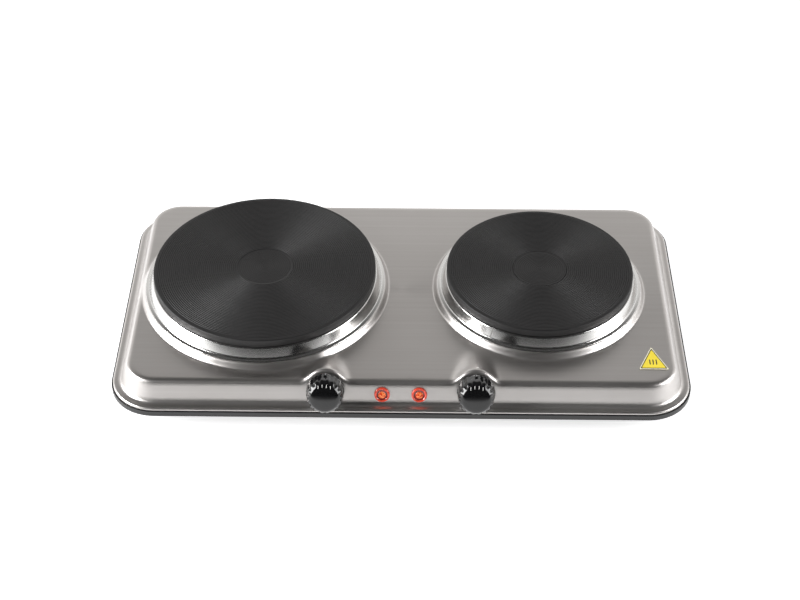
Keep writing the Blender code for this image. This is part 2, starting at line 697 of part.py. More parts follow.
def lamp(name, hand):
    """Indicator lamp: a red lens through the panel, its push-on clip, and the lamp holder behind."""
    axis = axis_empty(f"{name}_lamp_axis", front_point(hand * LAMP_OFFSET, LAMP_DOWN), FRONT_TILT)
    lens = (
        (0.0, 0.0019),
        (0.0030, 0.0016),
        (0.0043, 0.0009),
        (0.0049, 0.0009),
        (LENS_RADIUS - 0.0009, 0.0017),
        (LENS_RADIUS - 0.0003, 0.0017),
        (LENS_RADIUS, 0.0013),
        (LENS_RADIUS, GAP),
        (BARREL_RADIUS, GAP),
        (BARREL_RADIUS, -BARREL_LENGTH),
        (0.0, -BARREL_LENGTH),
    )
    seat(turned(f"lamp_lens_{name}", lens, RED_LENS, MIDDLE_SIDES), axis)
    top = -SHEET - GAP
    inner = BARREL_RADIUS + GAP
    outer = inner + CLIP_WIDTH
    clip = ((inner, top), (outer, top), (outer, top - 0.0008), (inner, top - 0.0008))
    seat(turned(f"lamp_clip_{name}", clip, ZINC_STEEL, MIDDLE_SIDES), axis)
    start = -BARREL_LENGTH - GAP
    back = start - LAMP_LENGTH
    holder = (
        (0.0, start),
        (BARREL_RADIUS + 0.0005, start),
        (BARREL_RADIUS + 0.0005, start - 0.008),
        (BARREL_RADIUS - 0.0012, start - 0.010),
        (BARREL_RADIUS - 0.0012, back),
        (0.0, back),
    )
    seat(turned(f"lamp_holder_{name}", holder, DARK_MOULDING, SMALL_SIDES), axis)
    return axis, back


# ---- Base fittings ----


def feet():
    """Rubber feet, each held by a screw that runs up into a side bracket."""
    names = (("front_left", -1, -1), ("front_right", 1, -1), ("back_left", -1, 1), ("back_right", 1, 1))
    hole = FOOT_SCREW_RADIUS + GAP
    bore = 0.0048
    shelf = 0.0042
    top = FOOT_HEIGHT - GAP
    foot = (
        (hole, top),
        (FOOT_RADIUS, top),
        (FOOT_RADIUS - 0.0008, 0.001),
        (FOOT_RADIUS - 0.0018, 0.0),
        (bore, 0.0),
        (bore, shelf),
        (hole, shelf),
    )
    head = shelf - GAP
    end = FLOOR_Z + GAP + BRACKET_SHEET + 0.003
    screw = (
        (0.0, end),
        (FOOT_SCREW_RADIUS, end),
        (FOOT_SCREW_RADIUS, head),
        (0.0040, head),
        (0.0032, head - 0.0020),
        (0.0, head - 0.0020),
    )
    for name, side_x, side_y in names:
        at = (side_x * FOOT_X, PAN_Y + side_y * FOOT_Y, 0.0)
        turned(f"foot_{name}", foot, RUBBER, MIDDLE_SIDES).location = at
        turned(f"foot_screw_{name}", screw, ZINC_STEEL, SMALL_SIDES).location = at


def side_bracket(name, hand):
    """Bent steel strip welded inside a side panel, which the foot screws pull the tray up against."""
    foot_z = FLOOR_Z + GAP
    top_z = DECK_Z - FOLD_DROP - 0.002
    panel_x = DECK_WIDTH / 2 + FOLD_RUN - (SHEET + GAP) / math.sin(SLOPE)
    drop = PANEL_LENGTH - 0.004
    sheet = BRACKET_SHEET
    toe = FOOT_X - 0.010
    heel = FOOT_X + 0.008
    outline = (
        (panel_x + 0.002 / math.tan(SLOPE), top_z),
        (panel_x + 0.002 / math.tan(SLOPE) + drop * math.cos(SLOPE), top_z - drop * math.sin(SLOPE)),
        (heel, foot_z + 0.006),
        (heel, foot_z),
        (toe, foot_z),
        (toe, foot_z + sheet),
        (heel - sheet, foot_z + sheet),
        (heel - sheet, foot_z + 0.006 + sheet / 2),
        (panel_x + drop * math.cos(SLOPE) - sheet, top_z - drop * math.sin(SLOPE) + sheet),
        (panel_x - sheet, top_z),
    )
    length = 2 * (FOOT_Y + BRACKET_SPARE)
    strip = prism(f"side_bracket_{name}", [(hand * x, z) for x, z in outline], length, ZINC_STEEL)
    seat(strip, location=(0, PAN_Y, 0), rotation=(math.pi / 2, 0, 0))
    for number, side_y in enumerate((-1, 1), 1):
        at = (hand * FOOT_X, PAN_Y + side_y * FOOT_Y, foot_z)
        drill(strip, f"{name}_bracket_hole_{number}", FOOT_SCREW_RADIUS + GAP, 3 * BRACKET_SHEET, None, at)


def cord_gland():
    """Moulded bushing in the back panel: a level barrel for the cord through a flange that lies on the panel."""
    at = back_point(0.0, GLAND_DOWN)
    outer_y = BACK_Y + GLAND_REACH - at.y
    inner_y = BACK_Y - GLAND_TAIL - at.y
    barrel = (
        (0.0, outer_y),
        (GLAND_RADIUS - 0.0003, outer_y),
        (GLAND_RADIUS, outer_y - 0.0003),
        (GLAND_RADIUS, inner_y),
        (0.0, inner_y),
    )
    gland = turned("cord_gland", barrel, DARK_MOULDING, MIDDLE_SIDES)
    seat(gland, location=at, rotation=(-math.pi / 2, 0, 0))
    front = GAP + GLAND_FLANGE_DEPTH
    flange = (
        (0.0, front),
        (GLAND_FLANGE - 0.0005, front),
        (GLAND_FLANGE, front - 0.0005),
        (GLAND_FLANGE, GAP),
        (0.0, GAP),
    )
    disc = turned("gland_flange", flange, sides=MIDDLE_SIDES, collection=CUTTERS)
    cut(gland, seat(disc, location=at, rotation=BACK_TILT), "UNION")
    bore = ((0.0, 0.03), (GLAND_BORE, 0.03), (GLAND_BORE, -0.03), (0.0, -0.03))
    cutter = turned("gland_bore", bore, sides=MIDDLE_SIDES, collection=CUTTERS)
    cut(gland, seat(cutter, location=at, rotation=(-math.pi / 2, 0, 0)))


def strip_centre():
    return Vector((0.0, BACK_Y - STRIP_FROM_BACK, FLOOR_Z + GAP + STRIP_SIZE[2] / 2))


def terminal_strip():
    """Moulded strip on the tray's floor where the supply is shared out, with the earth screw beside it."""
    box("terminal_strip", STRIP_SIZE, strip_centre(), CERAMIC, bevel=0.0012)
    earth = (
        (0.0, 0.0075),
        (0.0020, 0.0075),
        (0.0035, 0.0062),
        (0.0035, 0.0024),
        (0.0055, 0.0020),
        (0.0055, 0.0),
        (0.0, 0.0),
    )
    at = strip_centre() + Vector((EARTH_OFFSET, 0, 0))
    turned("earth_screw", earth, ZINC_STEEL, SMALL_SIDES).location = (at.x, at.y, FLOOR_Z + GAP)


def caution_label():
    """Yellow triangle stuck to the deck at the front right, one point to the back."""
    half = LABEL_WIDTH / 2
    label = prism("caution_label", ((-half, 0), (half, 0), (0, LABEL_DEPTH)), LABEL_SHEET, LABEL_YELLOW)
    x = DECK_WIDTH / 2 - LABEL_FROM_SIDE - half
    label.location = (x, FRONT_Y + LABEL_FROM_FRONT, DECK_Z + GAP + LABEL_SHEET / 2)


# ---- Wires inside the base ----


def smooth_route(points, steps=2):
    """Points on a Catmull-Rom curve through the route's own points."""
    ends = [2 * points[0] - points[1], *points, 2 * points[-1] - points[-2]]
    route = []
    for a, b, c, d in zip(ends, ends[1:], ends[2:], ends[3:]):
        for step in range(steps):
            t = step / steps
            route.append(
                0.5 * (2 * b + (c - a) * t + (2 * a - 5 * b + 4 * c - d) * t**2 + (3 * b - a - 3 * c + d) * t**3)
            )
    return [*route, points[-1]]


def wire(name, points):
    curve = bpy.data.curves.new(name, "CURVE")
    curve.dimensions = "3D"
    curve.bevel_depth = WIRE_RADIUS
    curve.bevel_resolution = 2
    curve.use_fill_caps = True
    straight = 0.25  # share of the first and last stretches that stays square to what the wire meets
    first = points[0].lerp(points[1], straight)
    last = points[-1].lerp(points[-2], straight)
    route = smooth_route([points[0], first, *points[1:-1], last, points[-1]])
    spline = curve.splines.new("POLY")
    spline.points.add(len(route) - 1)
    for target, point in zip(spline.points, route):
        target.co = (*point, 1.0)
    place(bpy.data.objects.new(name, curve), PARTS, WIRE_SLEEVE)


def on_axis(axis, point):
    """A point given in a tilted control's own frame, in world coordinates."""
    bpy.context.view_layer.update()
    return axis.matrix_world @ Vector(point)


def wiring(name, hand, regulator, lamp_parts, plate_x):
    """One side's wires: feed, plate lead, return lead and lamp lead."""
    axis, back = regulator
    lamp_axis, lamp_back = lamp_parts
    strip = strip_centre()
    strip_front = strip.y - STRIP_SIZE[1] / 2 - GAP
    block = block_centre(plate_x)
    low = FLOOR_Z + 0.006
    end = back - GAP
    feed = on_axis(axis, (-hand * 0.004, 0, end))
    lead = on_axis(axis, (hand * 0.005, 0, end))
    inward = Vector((0, math.sin(SLOPE) * 0.008, -math.cos(SLOPE) * 0.008))
    wire(
        f"wire_feed_{name}",
        [
            feed,
            feed + inward,
            Vector((hand * 0.046, PLATE_Y - 0.060, low)),
            Vector((hand * 0.024, PLATE_Y, low)),
            Vector((hand * 0.010, strip_front - 0.015, strip.z)),
            Vector((hand * 0.010, strip_front, strip.z)),
        ],
    )
    front_face = block.y - BLOCK_SIZE[1] / 2 - GAP
    wire(
        f"wire_plate_{name}",
        [
            lead,
            lead + inward,
            Vector((block.x, front_face - 0.016, block.z)),
            Vector((block.x, front_face, block.z)),
        ],
    )
    back_face = block.y + BLOCK_SIZE[1] / 2 + GAP
    wire(
        f"wire_return_{name}",
        [
            Vector((block.x, back_face, block.z)),
            Vector((block.x, back_face + 0.010, block.z)),
            Vector((hand * 0.040, PLATE_Y + 0.036, low)),
            Vector((hand * 0.017, strip_front - 0.010, strip.z)),
            Vector((hand * 0.016, strip_front, strip.z)),
        ],
    )
    lamp_end = on_axis(lamp_axis, (0, 0, lamp_back - GAP))
    wire(
        f"wire_lamp_{name}",
        [
            lamp_end,
            lamp_end + inward,
            Vector((hand * 0.010, PLATE_Y - 0.030, low)),
            Vector((hand * 0.004, strip_front - 0.015, strip.z)),
            Vector((hand * 0.004, strip_front, strip.z)),
        ],
    )


def earth_wire():
    strip = strip_centre()
    level = FLOOR_Z + 0.0055
    start = Vector((STRIP_SIZE[0] / 2 + GAP, strip.y, level))
    end = Vector((EARTH_OFFSET - 0.0035 - GAP, strip.y, level))
    wire("wire_earth", [start, start.lerp(end, 0.3), (start + end) / 2 + Vector((0, 0.003, 0.001)), start.lerp(end, 0.7), end])


# ---- Assembly ----

top_pan()
base_pan()
for plate in PLATES:
    hot_plate(*plate)
    heating_bed(*plate)
    spill_ring(*plate)
    heat_shield(*plate)
    clamp(*plate)
    terminal_block(*plate[:2])
feet()
cord_gland()
terminal_strip()
earth_wire()
caution_label()
for (hand_name, hand_side), (_, plate_centre, _) in zip(HANDS, PLATES):
    side_bracket(hand_name, hand_side)
    wiring(
        hand_name,
        hand_side,
        control(hand_name, hand_side),
        lamp(hand_name, hand_side),
        plate_centre,
    )
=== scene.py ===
import json
import math

import bmesh
import bpy
from mathutils import Matrix, Vector


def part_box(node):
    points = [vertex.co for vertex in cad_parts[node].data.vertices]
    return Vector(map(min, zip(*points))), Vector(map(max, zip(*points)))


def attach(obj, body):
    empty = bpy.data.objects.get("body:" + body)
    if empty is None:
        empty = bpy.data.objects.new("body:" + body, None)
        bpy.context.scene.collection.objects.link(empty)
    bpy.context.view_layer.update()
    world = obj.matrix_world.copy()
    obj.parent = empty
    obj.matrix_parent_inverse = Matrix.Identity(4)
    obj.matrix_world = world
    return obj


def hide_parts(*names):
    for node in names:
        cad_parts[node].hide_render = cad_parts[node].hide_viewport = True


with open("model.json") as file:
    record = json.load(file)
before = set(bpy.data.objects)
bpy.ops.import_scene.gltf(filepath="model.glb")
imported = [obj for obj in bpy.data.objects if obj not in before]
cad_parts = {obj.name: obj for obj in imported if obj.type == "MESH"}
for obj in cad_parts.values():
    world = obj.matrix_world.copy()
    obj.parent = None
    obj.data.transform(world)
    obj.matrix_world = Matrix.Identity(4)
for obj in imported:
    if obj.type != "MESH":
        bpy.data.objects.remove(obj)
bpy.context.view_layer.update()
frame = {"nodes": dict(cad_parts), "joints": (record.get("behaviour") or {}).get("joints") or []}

# ---- Studio ----
# A white table under a soft lamp on each side, with a bright room behind and a dark one in front,
# seen from a little above through a long lens.

table_top = -0.0002
table_half = 6
view_centre = Vector((-0.00154, -0.019031, 0.05295))
view_height = math.radians(41.17)
view_turn = math.radians(0.486)
view_roll = math.radians(0.178)
view_distance = 1.3784
focal_length = 75.03

sight = Vector(
    (
        math.sin(view_turn) * math.cos(view_height),
        -math.cos(view_turn) * math.cos(view_height),
        math.sin(view_height),
    )
)
sideways = Vector((0, 0, 1)).cross(sight).normalized()
upwards = sight.cross(sideways)
turned_side = sideways * math.cos(view_roll) + upwards * math.sin(view_roll)
turned_up = upwards * math.cos(view_roll) - sideways * math.sin(view_roll)
lens = bpy.data.cameras.new("camera")
lens.lens = focal_length
lens.clip_end = 50
camera = bpy.data.objects.new("camera", lens)
camera.matrix_world = Matrix.Translation(view_centre + sight * view_distance) @ (
    Matrix((turned_side, turned_up, sight)).transposed().to_4x4()
)
bpy.context.collection.objects.link(camera)
bpy.context.scene.camera = camera
bpy.context.scene.view_settings.view_transform = "Standard"


class Signal:
    """A value on its way between nodes. Sums with it add Math nodes."""

    def __init__(self, nodes, socket):
        self.nodes = nodes
        self.socket = socket

    def math(self, operation, *values):
        return self.nodes.add("Math", {"operation": operation}, dict(enumerate(values)))

    def __add__(self, other):
        return self.math("ADD", self, other)

    def __radd__(self, other):
        return self.math("ADD", other, self)

    def __sub__(self, other):
        return self.math("SUBTRACT", self, other)

    def __rsub__(self, other):
        return self.math("SUBTRACT", other, self)

    def __mul__(self, other):
        return self.math("MULTIPLY", self, other)

    def __rmul__(self, other):
        return self.math("MULTIPLY", other, self)

    def __truediv__(self, other):
        return self.math("DIVIDE", self, other)

    def __rtruediv__(self, other):
        return self.math("DIVIDE", other, self)

    def within(self, low, high):
        """0 under low and 1 over high, with a straight ramp between; high may be the lower one."""
        limits = {"Value": self, "From Min": low, "From Max": high}
        return self.nodes.add("MapRange", {"clamp": True}, limits)


class Nodes:
    """A tree of nodes that starts empty."""

    def __init__(self, tree):
        self.tree = tree
        self.tree.nodes.clear()

    def add(self, kind, settings=None, inputs=None, output=0):
        """Any node: its settings first, then what its sockets hold or are joined to."""
        node = self.tree.nodes.new("ShaderNode" + kind)
        for name, value in (settings or {}).items():
            if name == "stops":
                stops = node.color_ramp.elements
                stops[0].position, stops[0].color = value[0]
                stops[-1].position, stops[-1].color = value[-1]
                for position, colour in value[1:-1]:
                    stops.new(position).color = colour
            else:
                setattr(node, name, value)
        for name, value in (inputs or {}).items():
            self.join(node.inputs[name], value)
        return Signal(self, node.outputs[output])

    def join(self, socket, value):
        if isinstance(value, Signal):
            self.tree.links.new(value.socket, socket)
        else:
            socket.default_value = value

    def show(self, kind, surface):
        """The last node of the tree, which shows this surface."""
        end = self.tree.nodes.new("ShaderNode" + kind)
        self.join(end.inputs["Surface"], surface)


class Finish(Nodes):
    """A surface made on the object's own coordinates, with one Principled shader at its end."""

    def __init__(self, name, **constants):
        self.material = bpy.data.materials.new(name)
        self.material.use_nodes = True
        super().__init__(self.material.node_tree)
        surface = self.add("BsdfPrincipled")
        self.shader = surface.socket.node
        self.show("OutputMaterial", surface)
        self.place = self.add("TexCoord", output="Object")
        for socket, value in constants.items():
            self.feed(socket.replace("_", " "), value)

    def feed(self, name, value):
        self.join(self.shader.inputs[name], value)

    def grain(self, scale, stretch=(1, 1, 1), detail=3.0, rough=0.5):
        """Noise whose features are 1/scale metres across. A small stretch draws them out."""
        moved = self.add("Mapping", None, {"Vector": self.place, "Scale": stretch})
        noise = {"Vector": moved, "Scale": scale, "Detail": detail, "Roughness": rough}
        return self.add("TexNoise", None, noise)

    def tint(self, mask, first, second):
        """One colour where the mask is 0, and the other where it is 1."""
        colours = {"Factor": mask, 6: (*first, 1), 7: (*second, 1)}
        return self.add("Mix", {"data_type": "RGBA"}, colours, output=2)

    def relief(self, height, distance, strength=1.0, under=None):
        """A bump of this height in metres, on top of another if there is one."""
        inputs = {"Height": height, "Distance": distance, "Strength": strength}
        if under:
            inputs["Normal"] = under
        return self.add("Bump", None, inputs)

    def along(self, axis):
        """How far the point lies along one axis of the object."""
        return self.add("SeparateXYZ", None, {0: self.place}, output="XYZ".index(axis))

    def about(self, x, y):
        """(distance, angle) from an upright axis through x, y."""
        offset = self.add("VectorMath", {"operation": "SUBTRACT"}, {0: self.place, 1: (x, y, 0)})
        flat = self.add("VectorMath", {"operation": "MULTIPLY"}, {0: offset, 1: (1, 1, 0)})
        away = self.add("VectorMath", {"operation": "LENGTH"}, {0: flat}, output=1)
        across = self.add("SeparateXYZ", None, {0: offset})
        back = self.add("SeparateXYZ", None, {0: offset}, output=1)
        return away, back.math("ARCTAN2", back, across)


def solid_piece(name, shape, finish, body, node=None, sharp=35):
    """Turns a bmesh in its place in the object into a piece that rides on a body."""
    mesh = bpy.data.meshes.new(name)
    shape.to_mesh(mesh)
    shape.free()
    piece = bpy.data.objects.new(name, mesh)
    bpy.context.collection.objects.link(piece)
    mesh.materials.append(finish.material)
    mesh.shade_smooth()
    mesh.set_sharp_from_angle(angle=math.radians(sharp))
    if body:
        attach(piece, body)
    if node:
        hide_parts(node)
    return piece


table = bmesh.new()
bmesh.ops.create_grid(table, x_segments=8, y_segments=8, size=table_half)
bmesh.ops.translate(table, vec=(0, 0, table_top), verts=table.verts)
white_table = Finish("white_table", Roughness=0.9, Specular_IOR_Level=0.1, Emission_Strength=0.66)
paper = white_table.grain(3.0)
# The table's colour and glow fade to dark grey in front of y = -0.40 m: painted shade, so that the
# knobs and the front panel reflect a dark floor there.
clear_of_painted_shade = white_table.along("Y").within(-0.85, -0.40)
white_table.feed(
    "Base Color",
    white_table.tint(clear_of_painted_shade * 0.96 + paper * 0.04, (0.20, 0.20, 0.20), (0.82, 0.82, 0.82)),
)
white_table.feed("Emission Color", white_table.tint(clear_of_painted_shade, (0.14, 0.14, 0.14), (1.0, 1.0, 1.0)))
solid_piece("table", table, white_table, None)

room = bpy.data.worlds.new("room")
room.use_nodes = True
bpy.context.scene.world = room
air = Nodes(room.node_tree)
direction = air.add("TexCoord", output="Generated")
upward = air.add("SeparateXYZ", None, {0: direction}, output=2)
backward = air.add("SeparateXYZ", None, {0: direction}, output=1)
wall_tones = ((0.46, 1.0), (0.58, 0.98), (0.655, 0.58), (0.70, 0.32), (0.78, 0.14))
wall_stops = [(0.0, (1.0, 1.0, 1.0, 1))]
wall_stops += [(height, (tone, tone * 0.985, tone * 0.965, 1)) for height, tone in wall_tones]
wall_stops += [(1.0, (0.10, 0.10, 0.10, 1))]
by_height = air.add("ValToRGB", {"stops": wall_stops}, {0: upward})
depth_stops = [(0.26, (0.03, 0.03, 0.03, 1)), (0.62, (1, 1, 1, 1))]
by_depth = air.add("ValToRGB", {"stops": depth_stops}, {0: backward * 0.5 + 0.5})
walls = air.add(
    "Mix",
    {"data_type": "RGBA", "blend_type": "MULTIPLY"},
    {"Factor": 1.0, 6: by_height, 7: by_depth},
    output=2,
)
room_light = air.add("Background", None, {"Color": walls})
backdrop = air.add("Background", None, {"Color": (1, 1, 1, 1)})
seen = air.add("LightPath", output="Is Camera Ray")
air.show("OutputWorld", air.add("MixShader", None, {0: seen, 1: room_light, 2: backdrop}))


def soft_lamp(name, place, power):
    """A square lamp that shines on the middle of the object."""
    light = bpy.data.lights.new(name, "AREA")
    light.shape = "RECTANGLE"
    light.size, light.size_y = 0.9, 0.9
    light.energy = power
    lamp = bpy.data.objects.new(name, light)
    lamp.location = place
    lamp.rotation_euler = (Vector(place) - Vector((0, 0, 0.05))).to_track_quat("Z", "Y").to_euler()
    bpy.context.collection.objects.link(lamp)


soft_lamp("left_lamp", (-1.45, -0.40, 0.60), 42)
soft_lamp("right_lamp", (1.45, -0.35, 0.60), 20)

# ---- Top pan ----
# One sheet of stainless steel, 0.8 mm thick, pressed so that the deck, both collars, the sloping
# sides and the two bosses behind the knobs flow into each other. It is brushed from left to right.

sheet = 0.0008
plate_rise = 0.022
fold_radius = 0.0045
panel_slope = math.radians(70)
panel_length = 0.0139
fillet_radius = 0.004
flange = 0.0017
bead_radius = 0.002
lip = 0.0015
deck_corner = 0.020
boss_radius = 0.0170
boss_taper = 0.0733
boss_blend = 0.006
boss_reach = 0.034
collar_rise = 0.0052
collar_top = 0.0078
collar_foot = 0.0110
collar_rings = (-0.0045, 0.0, 0.004, 0.0064, 0.0071, 0.0076, 0.0081)
collar_rings += (0.0087, 0.0096, 0.0103, 0.0108, 0.0113, 0.0119, 0.0128)
deck_rings = 17
least_gap = 0.00004
coarse_step = 0.004
fine_step = 0.0012
knob_zone = 0.028

plates = {}
for size_name in ("large", "small"):
    low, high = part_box("hot_plate_" + size_name)
    plates[size_name] = ((low.x + high.x) / 2, (low.y + high.y) / 2, (high.x - low.x) / 2)
seam_x = (plates["large"][0] + plates["large"][2] + plates["small"][0] - plates["small"][2]) / 2
deck_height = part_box("hot_plate_large")[1].z - plate_rise

# The rim's section as (outwards, downwards) from the deck's edge: fold, panel, fillet, flange,
# bead and lip.
edge = []
for step in range(1, 6):
    turn = panel_slope * step / 5
    edge.append((fold_radius * math.sin(turn), fold_radius * (1 - math.cos(turn))))
fold_run, fold_drop = edge[-1]
for step in range(1, 7):
    share = panel_length * step / 6
    panel_run, panel_drop = share * math.cos(panel_slope), share * math.sin(panel_slope)
    edge.append((fold_run + panel_run, fold_drop + panel_drop))
run, drop = edge[-1]
for step in range(1, 5):
    turn = panel_slope * (1 - step / 4)
    edge.append(
        (
            run + fillet_radius * (math.sin(panel_slope) - math.sin(turn)),
            drop + fillet_radius * (math.cos(turn) - math.cos(panel_slope)),
        )
    )
run, drop = edge[-1][0] + flange, edge[-1][1]
edge.append((run, drop))
for step in range(1, 5):
    turn = math.pi / 2 * step / 4
    edge.append((run + bead_radius * math.sin(turn), drop + bead_radius * (1 - math.cos(turn))))
edge_run = edge[-1][0]
edge.append((edge_run, edge[-1][1] + lip))

pan_low, pan_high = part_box("top_pan")
pan_centre = (pan_low + pan_high) / 2
deck_half = Vector(
    (pan_high.x - pan_centre.x - edge_run, pan_high.y - pan_centre.y - edge_run)
)
front_fold = pan_centre.y - deck_half.y
back_fold = pan_centre.y + deck_half.y
control_places = {joint["child"]: Vector(joint["pos_m"]) for joint in frame["joints"]}


def soft_least(a, b, blend_width):
    mix = max(blend_width - abs(a - b), 0) / blend_width
    return min(a, b) - mix * mix * blend_width / 4


def soft_most(a, b, blend_width):
    return -soft_least(-a, -b, blend_width)


def spaced(start, end, step):
    count = max(1, round(abs(end - start) / step))
    return [start + (end - start) * i / count for i in range(count)]


def deck_outline(side):
    """Points round one half of the deck: outwards along the back, forwards, back to the seam."""
    x_end = side * deck_half.x
    corner = side * (deck_half.x - deck_corner)
    quarter = [math.pi / 2 * step / 12 for step in range(12)]
    points = [(x, back_fold) for x in spaced(seam_x, corner, coarse_step)]
    for turn in quarter:
        across, back = math.sin(turn), 1 - math.cos(turn)
        points.append((corner + side * deck_corner * across, back_fold - deck_corner * back))
    side_ends = back_fold - deck_corner, front_fold + deck_corner
    points += [(x_end, y) for y in spaced(*side_ends, coarse_step)]
    for turn in quarter:
        across, back = math.cos(turn), 1 - math.sin(turn)
        points.append((corner + side * deck_corner * across, front_fold + deck_corner * back))
    knob_x = next(place.x for place in control_places.values() if place.x * side > 0)
    near, far = knob_x + side * knob_zone, knob_x - side * knob_zone
    points += [(x, front_fold) for x in spaced(corner, near, coarse_step)]
    points += [(x, front_fold) for x in spaced(near, far, fine_step)]
    points += [(x, front_fold) for x in spaced(far, seam_x, coarse_step)]
    points += [(seam_x, y) for y in spaced(front_fold, back_fold, coarse_step)]
    return points


def grown(shape, loop, corners, places):
    """Extrudes a loop. Gives its new edges and corners, which take over the places of the old."""
    made = bmesh.ops.extrude_edge_only(shape, edges=loop)["geom"]
    fresh = {item for item in made if isinstance(item, bmesh.types.BMVert)}
    edges = [item for item in made if isinstance(item, bmesh.types.BMEdge)]
    moved = []
    for old in corners:
        new = next(end for joined in old.link_edges if (end := joined.other_vert(old)) in fresh)
        places[new] = places[old]
        moved.append(new)
    return [joined for joined in edges if set(joined.verts) <= fresh], moved


def half_pan(side, plate):
    """One half of the deck from its edge in to the plate's hole, and the rim down from the edge."""
    centre_x, centre_y, radius = plate
    outline = deck_outline(side)
    half = bmesh.new()
    first = [half.verts.new((x, y, deck_height)) for x, y in outline]
    outer = [half.edges.new(pair) for pair in zip(first, first[1:] + first[:1])]
    places = dict(zip(first, outline))
    rings = len(collar_rings) + deck_rings
    loop, corners = outer, first
    for level in range(rings - 1, -1, -1):
        loop, corners = grown(half, loop, corners, places)
        for vert in corners:
            x, y = places[vert]
            reach = math.hypot(x - centre_x, y - centre_y)
            if level < len(collar_rings):
                away = min(radius + collar_rings[level], reach - (rings - level) * least_gap)
            else:
                inner = min(radius + collar_rings[-1], reach - deck_rings * least_gap)
                share = (level - len(collar_rings) + 1) / (deck_rings + 1)
                away = inner + (reach - inner) * share
            share = away / reach
            vert.co.x = centre_x + (x - centre_x) * share
            vert.co.y = centre_y + (y - centre_y) * share

    loop = [e for e in outer if not all(abs(v.co.x - seam_x) < 1e-6 for v in e.verts)]
    corners = [v for v in first if any(e in loop for e in v.link_edges)]
    for run_out, run_down in edge:
        loop, corners = grown(half, loop, corners, places)
        for vert in corners:
            x, y = places[vert]
            near_x = max(-deck_half.x + deck_corner, min(deck_half.x - deck_corner, x))
            near_y = max(front_fold + deck_corner, min(back_fold - deck_corner, y))
            outward = Vector((x - near_x, y - near_y)).normalized() * run_out
            vert.co = (x + outward.x, y + outward.y, deck_height - run_down)
    return half


def raise_collar(shape, plate):
    """Lifts the deck round a plate's hole into a flat collar with soft edges."""
    centre_x, centre_y, radius = plate
    slope = collar_rise / (collar_foot - collar_top)
    for vert in shape.verts:
        past = math.hypot(vert.co.x - centre_x, vert.co.y - centre_y) - radius
        if past > collar_foot + 0.003:
            continue
        climb = soft_least(collar_rise, slope * (collar_foot - past), 0.0014)
        vert.co.z = soft_most(vert.co.z, deck_height + climb, 0.0016)


def raise_boss(shape, centre):
    """Slides the fold up the panel's plane round a knob, and lets the deck rise to meet it."""
    outward = Vector((0, -math.sin(panel_slope), math.cos(panel_slope)))
    lean = math.cos(panel_slope)
    inside_y, inside_z = front_fold + 0.030, deck_height - 0.026

    def depth(point, with_boss):
        """How far the point is outside the sheet, whose fold is round."""
        panel = (point - centre).dot(outward)
        top = point.z - deck_height
        if with_boss:
            away = (point - centre - outward * panel).length
            top = soft_least(top, away - boss_radius - boss_taper * panel, boss_blend)
        a, b = panel + fold_radius, top + fold_radius
        if a > lean * b and b > lean * a:
            square = a * a + b * b - 2 * a * b * lean
            return math.sqrt(square / (1 - lean * lean)) - fold_radius
        return max(panel, top)

    def reach(start, aim, with_boss):
        """How far it is from inside the base to the sheet, by halving."""
        low, high = 0.004, 0.075
        for _ in range(26):
            middle = (low + high) / 2
            if depth(start + aim * middle, with_boss) < 0:
                low = middle
            else:
                high = middle
        return (low + high) / 2

    for vert in shape.verts:
        point = vert.co
        beside = abs(point.x - centre.x) > boss_reach
        if beside or point.y > front_fold + 0.045 or point.z < deck_height - 0.0165:
            continue
        start = Vector((point.x, inside_y, inside_z))
        aim = (point - start).normalized()
        vert.co = point + aim * (reach(start, aim, True) - reach(start, aim, False))


pan = half_pan(-1, plates["large"])
right_half = half_pan(1, plates["small"])
carried = bpy.data.meshes.new("right_half")
right_half.to_mesh(carried)
right_half.free()
pan.from_mesh(carried)
bmesh.ops.remove_doubles(pan, verts=pan.verts, dist=0.00001)
for plate in plates.values():
    raise_collar(pan, plate)
for place in control_places.values():
    raise_boss(pan, place)
bmesh.ops.recalc_face_normals(pan, faces=pan.faces)
if sum(face.normal.z * face.calc_area() for face in pan.faces) < 0:
    bmesh.ops.reverse_faces(pan, faces=pan.faces)

brushed = Finish("brushed_stainless", Metallic=1.0, Anisotropic=0.35)
streaks = brushed.grain(60, (0.035, 6, 6), 4, 0.6)
fine_streaks = brushed.grain(260, (0.02, 8, 8), 3, 0.7)
clouds = brushed.grain(9, (1, 1, 1), 2, 0.5)
uneven = (streaks * 0.5 + clouds * 0.5).within(0.3, 0.7)
brushed.feed("Base Color", brushed.tint(uneven, (0.505, 0.483, 0.468), (0.585, 0.565, 0.552)))
brushed.feed("Roughness", 0.26 + 0.10 * streaks + 0.05 * clouds)
brushed.feed("Normal", brushed.relief(streaks * 0.6 + fine_streaks * 0.4, 0.00006, 0.35))


def give_wall(piece, thickness):
    """Thickens a surface inwards into a sheet."""
    wall = piece.modifiers.new("sheet", "SOLIDIFY")
    wall.thickness = thickness
    wall.offset = -1


give_wall(solid_piece("pan", pan, brushed, "housing", "top_pan", sharp=60), sheet)

# ---- Weld marks ----
# Small round rings that the welding tongs left in the side panels, where the inner brackets are
# fixed.

weld_drop = 0.008
weld_places = ((-1, 0.0272), (-1, -0.0084), (1, 0.0245))


def turned_piece(profile, centre, segments):
    """Spins (radius, height) points, given from the inside top outwards, about an upright axis."""
    shape = bmesh.new()
    points = [shape.verts.new((radius, 0, height)) for radius, height in profile]
    line = [shape.edges.new(pair) for pair in zip(points, points[1:])]
    bmesh.ops.spin(
        shape,
        geom=points + line,
        axis=(0, 0, 1),
        cent=(0, 0, 0),
        angle=math.tau,
        steps=segments,
        use_merge=True,
        use_duplicate=False,
    )
    bmesh.ops.remove_doubles(shape, verts=shape.verts, dist=0.000002)
    bmesh.ops.recalc_face_normals(shape, faces=shape.faces)
    if shape.calc_volume(signed=True) < 0:
        bmesh.ops.reverse_faces(shape, faces=shape.faces)
    bmesh.ops.translate(shape, vec=centre, verts=shape.verts)
    return shape


